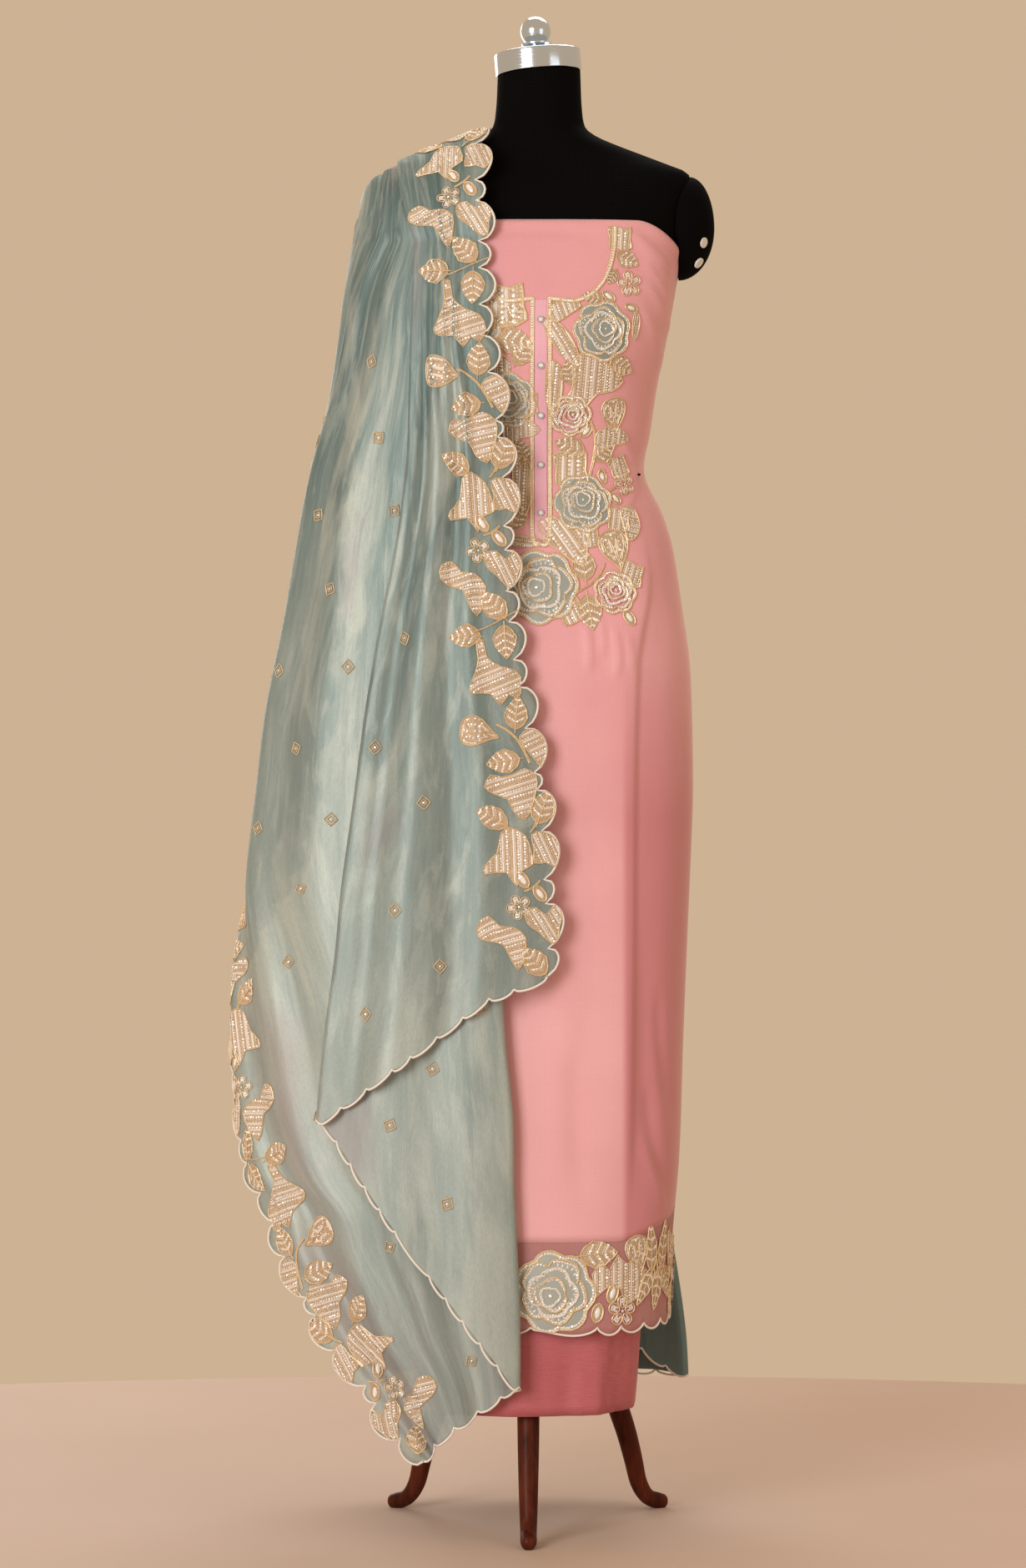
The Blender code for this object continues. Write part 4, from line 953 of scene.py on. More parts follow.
# %% Kameez panels
LAP = math.radians(3.0)  # the front laps over the back at the sides
LAP_LIFT, LAP_SHARE = 0.0013, 0.035
CLOTH_WALL = 0.0010
PANEL_UV = (0.50, 1.12)  # width and length of a panel's weave, in metres


def spread(v):
    """More of the rows go to the upper half, where the creases are finer."""
    return v / 0.6 if v < 0.3 else mix(0.5, 1.0, (v - 0.3) / 0.7)


def kameez_surface(u, v, front):
    if front:
        turn = mix(math.pi - LAP, 2 * math.pi + LAP, u)
    else:
        turn = mix(0.0, math.pi, u)
    seam, top = edge_height(turn, BAND_SEAM), edge_height(turn, TOP_EDGE)
    height = mix(seam, top, spread(v))
    over = LAP_LIFT * (1 - ease(min(u, 1 - u), 0.0, LAP_SHARE)) if front else 0.0
    return tube_point(turn, height, kameez_grow(turn, height, top) + over) + SHIFT


for side, front, columns, rows in (("front", True, 124, 196), ("back", False, 84, 140)):
    panel = lay_grid("kameez_cloth_" + side, columns, rows,
                     lambda u, v: kameez_surface(u, v, front), PANEL_UV)
    for item in panel.data.uv_layers[0].data:
        item.uv.y = spread(item.uv.y / PANEL_UV[1]) * PANEL_UV[1]
    turn_outward(panel, axis_at)
    smooth(panel)
    thicken(panel, CLOTH_WALL)
    finish_piece(panel, kameez_paint.made, "kameez_pink", "kameez_" + side)

# %% [markdown]
# The band below is sheer organza, sewn on under the seam, with a scalloped foot that is bound in
# white cotton. The scallops are not all alike, as each follows the flower above it.

# %% Hem band
BAND_SCALLOPS = (0.92, 1.10, 0.85, 1.15, 1.0, 0.9, 1.2, 0.8, 1.05, 0.95, 1.1, 0.98)
SCALLOP_DEEP, UNDER_KAMEEZ, BAND_WALL = 0.009, 0.006, 0.0006


def scallop_at(place, widths):
    """How far out a scalloped edge is, 0 to 1, at a place from 0 to 1 along uneven scallops."""
    run = place * sum(widths)
    for width in widths:
        if run <= width:
            return abs(math.sin(math.pi * run / width)) ** 0.62
        run -= width
    return 0.0


def band_surface(u, v, front):
    turn = mix(math.pi, 2 * math.pi, u) if front else mix(0.0, math.pi, u)
    foot = edge_height(turn, BAND_FOOT) - SCALLOP_DEEP * scallop_at(u, BAND_SCALLOPS)
    top = edge_height(turn, BAND_SEAM) + UNDER_KAMEEZ
    height = mix(foot, top, v)
    tuck = 0.0011 * ease(height, top - 0.010, top - 0.004)
    flutter = 0.0012 * math.sin(9 * turn) * (1 - v)
    return tube_point(turn, height, flutter - tuck) + SHIFT


for side, front in (("front", True), ("back", False)):
    band = lay_grid("kameez_band_" + side, 200, 12, lambda u, v: band_surface(u, v, front), (0.48, 0.11))
    turn_outward(band, axis_at)
    smooth(band)
    thicken(band, BAND_WALL)
    finish_piece(band, band_paint.made, "band_organza", "kameez_hem_" + side)

# %% [markdown]
# The bottom cloth hangs straight inside the kameez, with a few soft upright folds that open
# towards its hem. It is a closed tube with a turned hem.

# %% Bottom cloth
SALWAR = (  # height, middle, half width, depth in front and behind, squareness
    (0.14, -0.015, 0.124, 0.137, 0.13, 2.8), (0.24, -0.012, 0.129, 0.135, 0.129, 2.8),
    (0.4, -0.008, 0.14, 0.129, 0.124, 2.7), (0.6, -0.004, 0.154, 0.124, 0.119, 2.6),
    (0.74, -0.001, 0.1655, 0.1212, 0.1167, 2.5), (0.79, 0.0, 0.1708, 0.1204, 0.1154, 2.5),
    (0.835, 0.0, 0.1722, 0.1222, 0.1182, 2.5),
)
SALWAR_FOLDS = (  # turn in degrees, width in degrees, depth, height where it fades out
    (252, 9, -0.0022, 0.34), (268, 7, 0.0016, 0.30), (283, 10, -0.0026, 0.42),
                (300, 8, 0.0022, 0.33), (318, 9, -0.0020, 0.36), (338, 8, 0.0018, 0.30),
                (232, 10, 0.0020, 0.38), (205, 9, -0.0020, 0.34), (180, 9, 0.0018, 0.30),
                (20, 10, -0.0022, 0.36), (48, 9, 0.0022, 0.40), (78, 11, -0.0028, 0.44),
                (104, 9, 0.0020, 0.34), (130, 9, -0.0022, 0.38), (156, 10, 0.0020, 0.32))


def salwar_surface(u, v):
    turn = 2 * math.pi * u
    height = mix(SALWAR[0][0], SALWAR[-1][0], v)
    middle, *row = along(SALWAR, height)
    grow = 0.0
    for at, width, deep, top in SALWAR_FOLDS:
        apart = (math.degrees(turn) - at + 180) % 360 - 180
        grow += 1.3 * deep * (1 - ease(height, 0.17, top)) * bump_at(apart, 0, width)
    grow += 0.0005 * bump_at(height, 0.146, 0.005) - 0.0005 * bump_at(height, 0.158, 0.0015)
    grow += 0.0009 * math.sin(31 * turn + 9 * height) * math.sin(26 * height + 2 * turn)
    point = section(row, turn, grow, middle)
    point.z = height
    return point + SHIFT


salwar = lay_grid("salwar_cloth", 140, 60, salwar_surface, (0.84, 0.70), closed=True)
turn_outward(salwar, axis_at)
smooth(salwar)
thicken(salwar, CLOTH_WALL)
finish_piece(salwar, salwar_paint.made, "salwar_rose", "salwar")

# %% [markdown]
# The dupatta is one sheer cloth, folded in loose pleats over the shoulder. Seen from its near edge
# it runs across the front to fold b, back underneath to fold c, then round the side to its far
# edge, and it does the same behind. Tables give each edge and fold at each height.

# %% The dupatta's falls
# Height: near edge, fold b, fold c, leftmost, far edge's turn in degrees round the envelope,
# envelope depth, lift of the outer layer, lift of the middle layer
FALL_FRONT = (
    (0.08, 0.012, -0.262, -0.028, 0.34, 110, 0.153, 0.027, 0.0135),
    (0.13, 0.012, -0.26, -0.028, 0.34, 119, 0.153, 0.027, 0.0135),
    (0.178, 0.012, -0.258, -0.028, 0.34, 125, 0.153, 0.027, 0.0135),
    (0.224, 0.012, -0.256, -0.028, 0.34, 133.5, 0.153, 0.027, 0.0135),
    (0.271, 0.012, -0.254, -0.029, 0.34, 140, 0.153, 0.027, 0.0135),
    (0.318, 0.012, -0.252, -0.031, 0.34, 147.5, 0.153, 0.027, 0.0135),
    (0.364, 0.012, -0.249, -0.033, 0.341, 152, 0.1525, 0.027, 0.0135),
    (0.404, 0.012, -0.246, -0.035, 0.343, 162, 0.1515, 0.027, 0.0135),
    (0.473, 0.012, -0.241, -0.036, 0.346, 172, 0.1495, 0.027, 0.0135),
    (0.565, 0.012, -0.232, -0.045, 0.35, 178, 0.1465, 0.027, 0.0135),
    (0.648, 0.015, -0.221, -0.049, 0.342, 191, 0.143, 0.027, 0.0135),
    (0.73, 0.011, -0.213, -0.051, 0.333, 208, 0.139, 0.027, 0.0135),
    (0.825, 0.004, -0.2, -0.053, 0.32, 213, 0.135, 0.026, 0.013),
    (0.925, -0.014, -0.187, -0.058, 0.307, 215, 0.1325, 0.025, 0.0125),
    (1.026, -0.029, -0.17, -0.064, 0.287, 213, 0.129, 0.024, 0.012),
    (1.11, -0.033, -0.154, -0.069, 0.273, 212, 0.125, 0.022, 0.011),
    (1.2, -0.038, -0.143, -0.073, 0.2575, 207, 0.1225, 0.02, 0.01),
    (1.282, -0.049, -0.141, -0.077, 0.2375, 199, 0.1245, 0.017, 0.0085),
    (1.346, -0.06, -0.14, -0.081, 0.2275, 193, 0.1245, 0.014, 0.007),
    (1.39, -0.061, -0.139, -0.083, 0.2225, 188, 0.12, 0.0095, 0.0048),
    (1.45, -0.062, -0.138, -0.086, 0.214, 172, 0.1085, 0.0064, 0.0032),
)
FALL_BACK = (
    (0.13, 0.05, -0.2, 0.17, 0.3, 105, 0.162, 0.027, 0.0135),
    (0.2, 0.05, -0.2, 0.166, 0.3, 105, 0.162, 0.027, 0.0135),
    (0.29, 0.048, -0.2, 0.153, 0.3, 105.5, 0.161, 0.027, 0.0135),
    (0.344, 0.046, -0.2, 0.141, 0.3, 106, 0.16, 0.027, 0.0135),
    (0.55, 0.036, -0.2, 0.102, 0.295, 109, 0.154, 0.026, 0.013),
    (0.75, 0.022, -0.2, 0.06, 0.288, 117, 0.147, 0.024, 0.012),
    (0.95, 0.001, -0.2, 0.019, 0.28, 126, 0.142, 0.021, 0.0105),
    (1.15, -0.03, -0.198, -0.034, 0.262, 137, 0.133, 0.017, 0.0085),
    (1.32, -0.056, -0.186, -0.082, 0.238, 151, 0.123, 0.012, 0.006),
    (1.45, -0.066, -0.171, -0.106, 0.214, 172, 0.113, 0.0064, 0.0032),
)
# Heights of each hem at the near edge, on the way, at b, at c, at the far edge; then where the
# way point is, and the curve of the last stretch
HEM_FRONT = (0.630, 0.606, 0.470, 0.178, 0.092, 0.28, 0.8)
HEM_BACK = (0.160, 0.172, 0.150, 0.152, 0.480, 0.5, 1.6)
EDGE_ROOM = 0.007  # the cloth ends this much short, where its scallops begin
SPLIT = 1.450  # height where the falls meet the stretch over the shoulder
CLEAR, CLEAR_ASIDE, LEAST_TOP, LEAST_SIDE = 0.0030, 0.0065, 0.030, 0.004
CREST = (-0.068, -0.160, -0.124, -0.2068)
CREST_LIFT_OUT, CREST_LIFT_MID = 0.0048, 0.0024
NECK_HEIGHT = FORM[-1][0]

# Panels across the cloth from its near edge, with their columns of faces
PANELS = (("outer", 26), ("fold b", 8), ("middle", 12), ("fold c", 8), ("inner", 34))
COLUMNS = [(name, k / count) for name, count in PANELS for k in range(count)] + [("inner", 1.0)]
FRONT_ROWS, OVER_ROWS, BACK_ROWS = 216, 56, 132


def swell(share, waves, deep):
    return deep * math.sin(math.pi * share) * math.cos(2 * math.pi * waves * share)


def oval_depth(x, half, depth):
    return depth * math.sqrt(max(1 - (x / half) ** 2, 0.0))


def folded(panel, share, near, fold_b, fold_c, far, lift_out, lift_mid, relax=0.0):
    """Place across the wearer and lift off the envelope: folded back at b and again at c."""
    turn = math.pi * share
    near -= EDGE_ROOM
    if panel == "outer":
        settle_down = 1 - relax * max(1 - 2.75 * share, 0.0)
        return mix(near, fold_b, share), lift_out * settle_down + swell(share, 1.5, 0.12 * lift_out)
    if panel == "fold b":
        radius = (lift_out - lift_mid) / 2
        return fold_b - radius * math.sin(turn), lift_mid + radius * (1 + math.cos(turn))
    if panel == "middle":
        return mix(fold_b, fold_c, share), lift_mid
    if panel == "fold c":
        radius = lift_mid / 2
        return fold_c + radius * math.sin(turn), radius * (1 + math.cos(turn))
    return mix(fold_c, far, share), 0.0


def fall_point(rows, facing, panel, share, height):
    near, fold_b, fold_c, half, far_turn, depth, lift_out, lift_mid = along(rows, height)
    if panel == "inner":
        start = math.acos(fold_c / half)
        turn = mix(start, math.radians(far_turn), share)
        ripple = swell(share, 2.0, 0.004) * (SPLIT - height)
        return Vector((half * math.cos(turn), facing * (depth * math.sin(turn) + ripple), height)), 0.0
    relax = 0.4 if facing < 0 else 0.0
    x, lift = folded(panel, share, near, fold_b, fold_c, 0.0, lift_out, lift_mid, relax)
    base = fold_b if panel == "fold b" else fold_c if panel == "fold c" else x
    return Vector((x, facing * (oval_depth(base, half, depth) + lift), height)), lift


def hem_height(hem, panel, share):
    near, way, at_b, at_c, far, way_at, last_ease = hem
    if panel == "outer":
        if share < way_at:
            return mix(near, way, share / way_at)
        return mix(way, at_b, (share - way_at) / (1 - way_at))
    if panel == "fold b":
        return at_b
    if panel == "middle":
        return mix(at_b, at_c, share)
    if panel == "fold c":
        return at_c
    return mix(at_c, far, share**last_ease)


print("falls ready:", len(COLUMNS), "columns")

# %% [markdown]
# Over the shoulder the cloth lies on the cap and the form's slope, so its height comes from how
# far the body reaches there. A few halving steps find the body's outline along each ray.


# %% Over the shoulder
def inside_body(x, y, height):
    if height < NECK_HEIGHT:
        half, front, behind, squareness = straight(FORM, height)
        depth = behind if y > 0 else front
        if (abs(x) / half) ** squareness + (abs(y) / depth) ** squareness < 1:
            return True
    rise = height - CAP_MIDDLE_Z
    spread = math.hypot(y / CAP_DEPTH, rise / CAP_HEIGHT)
    if spread >= 1:
        return False
    grow = 1 / max(spread, 0.01)
    foot = armhole_x(min(max(y * grow, -CAP_DEPTH), CAP_DEPTH), CAP_MIDDLE_Z + rise * grow)
    return abs(x) < foot + (CAP_TIP - foot) * math.sqrt(1 - spread**2)


def body_radius(x, angle):
    low, high = 0.0, 0.25
    x += CLEAR_ASIDE
    if not inside_body(x, 0.0, SPLIT + 0.0001):
        return 0.0
    for _ in range(14):
        middle = (low + high) / 2
        if inside_body(x, -middle * math.cos(angle), SPLIT + middle * math.sin(angle)):
            low = middle
        else:
            high = middle
    return high


def over_shoulder(rows, start, start_lift, crest, crest_lift, angle):
    weight = math.sin(angle) ** 0.8
    x = mix(start.x, crest, weight)
    lift = mix(start_lift, crest_lift, weight)
    half, depth = rows[-1][4], rows[-1][6]
    side = mix(abs(start.y) - start_lift, oval_depth(x, half, depth), min(weight * 2, 1.0))
    side = max(side, LEAST_SIDE)
    top = max(body_radius(x, math.pi / 2), LEAST_TOP) + CLEAR
    radius = 1 / math.sqrt((math.cos(angle) / side) ** 2 + (math.sin(angle) / top) ** 2)
    radius = max(radius, body_radius(x, angle) + CLEAR)
    height = SPLIT + (radius + lift) * math.sin(angle)
    return Vector((x, -(radius + lift) * math.cos(angle), height))


def fall_rows(rows, facing, hem, count):
    grid, lifts = [], []
    for r in range(count + 1):
        row = []
        for panel, share in COLUMNS:
            height = mix(hem_height(hem, panel, share), SPLIT, r / count)
            point, lift = fall_point(rows, facing, panel, share, height)
            row.append(point)
            if r == count:
                lifts.append(lift)
        grid.append(row)
    return grid, lifts


front_grid, front_lifts = fall_rows(FALL_FRONT, -1, HEM_FRONT, FRONT_ROWS)
back_grid, back_lifts = fall_rows(FALL_BACK, 1, HEM_BACK, BACK_ROWS)
over_grid = []
for r in range(1, OVER_ROWS):
    angle = math.pi * r / OVER_ROWS
    near_front = 2 * r <= OVER_ROWS
    edge = front_grid[-1] if near_front else back_grid[-1]
    lifts = front_lifts if near_front else back_lifts
    rows = FALL_FRONT if near_front else FALL_BACK
    row = []
    for k, (panel, share) in enumerate(COLUMNS):
        crest, crest_lift = folded(panel, share, *CREST, CREST_LIFT_OUT, CREST_LIFT_MID)
        row.append(over_shoulder(rows, edge[k], lifts[k], crest, crest_lift, angle))
    over_grid.append(row)
rough = np.array(front_grid + over_grid + back_grid[::-1])  # from the front hem to the back hem
ROWS, ACROSS = rough.shape[:2]
print("dupatta laid out:", ROWS, "rows by", ACROSS, "columns")

# %% [markdown]
# Creases in the organza run from the shoulder pleats down each panel and fan out. Each is a soft
# ridge or trough across the panel, with its own width, depth and run. The cloth keeps its
# layers apart, so no crease is deeper than the room to the next layer.

# %% Creases in the organza
# For each panel: place across it at the shoulder and at the hem; width; depth; and start and end
# of its run, from the split (0) to the hem (1)
CREASES_FRONT = {
    "outer": (
        # pleats that open out below the shoulder
        (0.28, 0.22, 0.046, -0.0022, -0.3, 0.3), (0.37, 0.33, 0.04, 0.0026, -0.3, 0.46),
        (0.46, 0.43, 0.036, -0.0022, -0.3, 0.24), (0.55, 0.52, 0.046, 0.0028, -0.3, 0.52),
        (0.64, 0.63, 0.034, -0.0022, -0.3, 0.3), (0.74, 0.75, 0.044, 0.0026, -0.3, 0.38),
        (0.84, 0.86, 0.038, -0.002, -0.3, 0.5), (0.93, 0.94, 0.028, 0.0014, -0.3, 0.3),
        # long soft folds
        (0.36, 0.3, 0.06, 0.0044, 0.05, 1.05), (0.5, 0.47, 0.07, -0.0052, 0.1, 1.05),
        (0.68, 0.71, 0.07, 0.0052, 0.05, 1.05), (0.86, 0.9, 0.06, -0.0052, 0.02, 1.05),
        (0.1, 0.08, 0.09, 0.002, 0.3, 1.05), (0.42, 0.2, 0.045, 0.0016, 0.45, 1.05),
        (0.6, 0.86, 0.05, 0.0016, 0.4, 0.95),
    ),
    "middle": (
        (0.3, 0.38, 0.13, 0.0026, 0.2, 1.05), (0.62, 0.6, 0.09, -0.0026, 0.3, 1.05),
        (0.84, 0.82, 0.07, 0.0022, 0.4, 1.05), (0.12, 0.12, 0.06, -0.0016, 0.4, 1.05),
    ),
    "inner": (
        (0.38, 0.36, 0.05, 0.004, 0.0, 1.05), (0.49, 0.5, 0.06, -0.0052, -0.1, 1.05),
        (0.61, 0.65, 0.055, 0.0058, -0.1, 1.05), (0.72, 0.78, 0.048, -0.0046, -0.1, 1.05),
        (0.84, 0.9, 0.05, 0.004, 0.0, 1.05), (0.57, 0.57, 0.022, 0.0018, -0.2, 0.45),
        (0.67, 0.7, 0.022, -0.002, -0.2, 0.5), (0.14, 0.12, 0.07, 0.0026, 0.4, 1.05),
        (0.26, 0.24, 0.06, -0.0026, 0.3, 1.05), (0.52, 0.42, 0.03, 0.0018, 0.5, 1.05),
    ),
}
CREASES_BACK = {
    "outer": (
        (0.12, 0.1, 0.07, 0.003, -0.2, 0.95), (0.27, 0.3, 0.06, -0.0036, -0.3, 1.05),
        (0.4, 0.45, 0.075, 0.0042, -0.3, 1.05), (0.55, 0.62, 0.06, -0.004, -0.3, 1.05),
        (0.68, 0.74, 0.07, 0.0036, -0.3, 1.05), (0.84, 0.88, 0.055, -0.0032, -0.2, 1.05),
        (0.34, 0.36, 0.026, 0.002, -0.3, 0.45), (0.48, 0.5, 0.024, -0.002, -0.3, 0.55),
        (0.76, 0.8, 0.026, 0.002, -0.3, 0.5),
    ),
    "middle": (
        (0.25, 0.3, 0.09, 0.003, 0.1, 1.05), (0.48, 0.52, 0.085, -0.0032, 0.1, 1.05),
        (0.74, 0.76, 0.08, 0.003, 0.2, 1.05),
    ),
    "inner": (
        (0.3, 0.3, 0.08, 0.0034, 0.1, 1.05), (0.52, 0.55, 0.07, -0.0036, 0.1, 1.05),
        (0.76, 0.8, 0.08, 0.0034, 0.1, 1.05),
    ),
}
CREASE_FADE = 0.22  # the share of the run over which a crease comes and goes


def grid_normals(grid):
    normals = np.cross(np.gradient(grid, axis=1), np.gradient(grid, axis=0))
    return normals / np.maximum(np.linalg.norm(normals, axis=2, keepdims=True), 1e-9)


def half_and_run(r):
    """Which half a row is on, and its run from the split (0) to the hem (1), or to the crest (-0.3)."""
    if r <= FRONT_ROWS:
        return True, 1 - r / FRONT_ROWS
    if r >= FRONT_ROWS + OVER_ROWS:
        return False, (r - FRONT_ROWS - OVER_ROWS) / BACK_ROWS
    share = (r - FRONT_ROWS) / OVER_ROWS
    return share < 0.5, -0.3 * min(share, 1 - share) * 2


def crease_across(panel, share, run, crease):
    """One crease's depth at a place across a panel."""
    top, low, width, deep, start, end = crease
    fade = ease(run, start, start + CREASE_FADE) * (1 - ease(run, end - CREASE_FADE, end))
    if run > 0.8 and end > 1:
        fade = 1.0
    at = mix(top, low, max(run, 0.0)) + 0.012 * math.sin(7 * run + 20 * top)
    room = ease(run, -0.3, 0.45) * 0.7 + 0.3
    hold = min(9 * (1 - share) if panel == "outer" else 14 * min(share, 1 - share), 1.0)
    return deep * fade * room * hold * bump_at(share, at, width)


def crease_field():
    """How far each point moves along its normal. The middle panel's normal faces the body."""
    field = np.zeros((ROWS, ACROSS))
    for r in range(ROWS):
        front, run = half_and_run(r)
        creases = CREASES_FRONT if front else CREASES_BACK
        for k, (panel, share) in enumerate(COLUMNS):
            field[r, k] = sum(crease_across(panel, share, run, crease) for crease in creases.get(panel, ()))
    return field


lift_field = crease_field()
rough_normals = grid_normals(rough)
SIGN = np.array([-1.0 if name == "middle" else 1.0 for name, share in COLUMNS])
probe = rough_normals[FRONT_ROWS // 2, 10]
OUT = 1.0 if probe[1] < 0 else -1.0  # the front's outer panel faces -Y
draped = rough + rough_normals * (OUT * lift_field * SIGN)[:, :, None]
print("creases: deepest", round(float(np.abs(lift_field).max()) * 1000, 1), "mm")

# %% [markdown]
# All four edges are cut in scallops. A scallop is added beyond the cloth's own edge: two more
# columns of points on each side, and two more rows at each hem, that stand out by a half-round
# wave. The waves are uneven, and each valley falls on a row of points, so it stays sharp.

# %% Scalloped edges
LONG_SCALLOPS = (0.032, 0.048, 0.027, 0.053, 0.044, 0.021, 0.051, 0.045, 0.033, 0.042)
REPEAT = sum(LONG_SCALLOPS)  # the border's motifs repeat with its scallops
LONG_DEEP, HEM_SCALLOPS, HEM_DEEP = 0.020, (0.036, 0.034), 0.0058
VALLEY = 0.0012  # the valleys stand this far beyond the cloth's own edge


def line_lengths(line):
    return np.concatenate([[0.0], np.cumsum(np.linalg.norm(np.diff(line, axis=0), axis=1))])


def valleys_on(lengths, widths):
    """Scallop valleys along an edge, each moved to the nearest point of the edge."""
    made, run, k = [0.0], 0.0, 0
    while run + widths[k % len(widths)] < lengths[-1] - 0.4 * widths[0]:
        run += widths[k % len(widths)]
        made.append(float(lengths[np.argmin(np.abs(lengths - run))]))
        k += 1
    return [*made, float(lengths[-1])]


def wave_out(run, valleys, deep):
    k = min(max(np.searchsorted(valleys, run, side="right") - 1, 0), len(valleys) - 2)
    width = valleys[k + 1] - valleys[k]
    share = min(max((run - valleys[k]) / width, 0.0), 1.0)
    return VALLEY + min(deep, 0.42 * width) * math.sin(math.pi * share) ** 0.55


class Edge:
    """One edge of the cloth: its line, the way out of the cloth, and its scallops."""

    def __init__(self, line, inner, widths, deep, rolled=9.0):
        self.line, self.out = line, line - inner
        self.rolled = rolled  # above this height the edge is rolled under, and has no scallops
        self.out = self.out / np.linalg.norm(self.out, axis=1, keepdims=True)
        self.lengths = line_lengths(line)
        self.valleys = valleys_on(self.lengths, widths)
        self.deep = [deep * (1 - ease(height, rolled - 0.05, rolled)) for height in line[:, 2]]

    def reach(self):
        pairs = zip(self.lengths, self.deep)
        return np.array([wave_out(run, self.valleys, deep) for run, deep in pairs])[:, None]

    def fine_lines(self, step):
        """Points along the scalloped outline, closer together than the cloth's own, in runs."""
        made = []
        for k, start in enumerate(self.valleys[:-1]):
            count = max(int((self.valleys[k + 1] - start) / step), 3)
            made += [mix(start, self.valleys[k + 1], j / count) for j in range(count)]
        made.append(self.valleys[-1])
        lines = [[]]
        for run in made:
            place = [np.interp(run, self.lengths, self.line[:, axis]) for axis in range(3)]
            out = np.array([np.interp(run, self.lengths, self.out[:, axis]) for axis in range(3)])
            if place[2] < self.rolled:
                deep = np.interp(run, self.lengths, self.deep)
                lines[-1].append(np.array(place) + out * wave_out(run, self.valleys, deep))
            elif lines[-1]:
                lines.append([])
        return [line for line in lines if len(line) > 1]


def widen(grid, edge):
    """Adds two columns of points beyond the grid's first column, out to the scallops."""
    tip = edge.line + edge.out * edge.reach()
    return np.concatenate([tip[:, None], (edge.line + tip)[:, None] / 2, grid], axis=1)


near_edge = Edge(draped[:, 0], draped[:, 2], LONG_SCALLOPS, LONG_DEEP)
far_edge = Edge(draped[:, -1], draped[:, -3], LONG_SCALLOPS, LONG_DEEP, 1.27)
full = widen(draped, near_edge)
full = widen(full[:, ::-1], far_edge)[:, ::-1]
turned = full.transpose(1, 0, 2)
front_hem = Edge(turned[:, 0], turned[:, 2], HEM_SCALLOPS, HEM_DEEP)
back_hem = Edge(turned[:, -1], turned[:, -3], HEM_SCALLOPS, HEM_DEEP)
turned = widen(turned, front_hem)
turned = widen(turned[:, ::-1], back_hem)[:, ::-1]
full = turned.transpose(1, 0, 2)
FULL_ROWS, FULL_ACROSS = full.shape[:2]
flat_across = line_lengths(full[FRONT_ROWS // 2])
flat_along = line_lengths(full[:, FULL_ACROSS // 5])
print(f"dupatta: {flat_across[-1]:.2f} m wide, {flat_along[-1]:.2f} m long as draped")

# %% [markdown]
# The points worked out above become the cloth: a flat grid with one point for each, whose flat
# coordinates are then set to the lengths measured along the cloth, so its weave isn't stretched.

# %% The dupatta's cloth
ORGANZA_WALL = 0.0007
last_row, last_column = FULL_ROWS - 1, FULL_ACROSS - 1


def dupatta_place(u, v):
    row, column = round(v * last_row), round(u * last_column)
    return Vector(full[row, column]) + SHIFT


dupatta = lay_grid("dupatta_cloth", last_column, last_row, dupatta_place)
for item in dupatta.data.uv_layers[0].data:
    column, row = item.uv.x * last_column, item.uv.y * last_row
    item.uv = (np.interp(column, range(FULL_ACROSS), flat_across),
               np.interp(row, range(FULL_ROWS), flat_along))
smooth(dupatta)
thicken(dupatta, ORGANZA_WALL, 0.5)
finish_piece(dupatta, organza.made, "dupatta_organza", *[
    "dupatta_" + part for part in ("front", "shoulder", "back", "edge_near_front", "edge_far_front",
                                   "edge_near_back", "edge_far_back", "hem_front", "hem_back")])

# %% [markdown]
# The piping is a satin-stitched cord of white cotton over every scalloped edge. It is a curve
# with a round section that follows the finer outline, made a mesh.


# %% Cords
def cord_piece(name, points, radius, closed=False, sides=1):
    """A cord along points: a curve with a round section, made a mesh."""
    curve = bpy.data.curves.new(name, "CURVE")
    curve.dimensions = "3D"
    line = curve.splines.new("POLY")
    line.points.add(len(points) - 1)
    for spot, place in zip(line.points, points):
        spot.co = (*place, 1)
    line.use_cyclic_u = closed
    curve.bevel_depth = radius
    curve.bevel_resolution = sides
    curve.use_fill_caps = not closed
    pick(new_object(name, curve))
    bpy.ops.object.convert(target="MESH")
    return bpy.context.object


def sewn_cords(name, lines, radius, look, slot):
    """One piece of all the cords along some lines."""
    cords = join(name, [cord_piece(name, line, radius) for line in lines])
    return finish_piece(smooth(cords), look.made, slot)


PIPING, PIPING_STEP = 0.0014, 0.004  # radius, and the distance between the points that it follows
outline = [[Vector(p) + SHIFT for p in line] for edge in (near_edge, far_edge, front_hem, back_hem)
           for line in edge.fine_lines(PIPING_STEP)]
sewn_cords("dupatta_piping", outline, PIPING, piping_paint, "dupatta_organza")

# %% [markdown]
# The embroidery is worked flat first, as on the embroiderer's frame, and then laid on the cloth.
# Each motif is modelled once, in millimetres on a flat table: its outline in gold cord, rows of
# silk, beads or sequins inside. Copies are then bent onto the cloth, point by point.

# %% Beads and sequins
MM = 0.001


def small_shape(name, look, x, y, z, primitive=bpy.ops.mesh.primitive_cone_add, **settings):
    """The mesh of a primitive at a bead's size in millimetres, which is then copied many times."""
    deselect()
    primitive(**settings)
    shape = named(name)
    with edit_mode(shape):
        bpy.ops.transform.resize(value=(x * MM, y * MM, z * MM), center_override=(0, 0, 0))
    mesh = shape.data
    mesh.materials.append(look.made)
    bpy.data.objects.remove(shape)
    return mesh


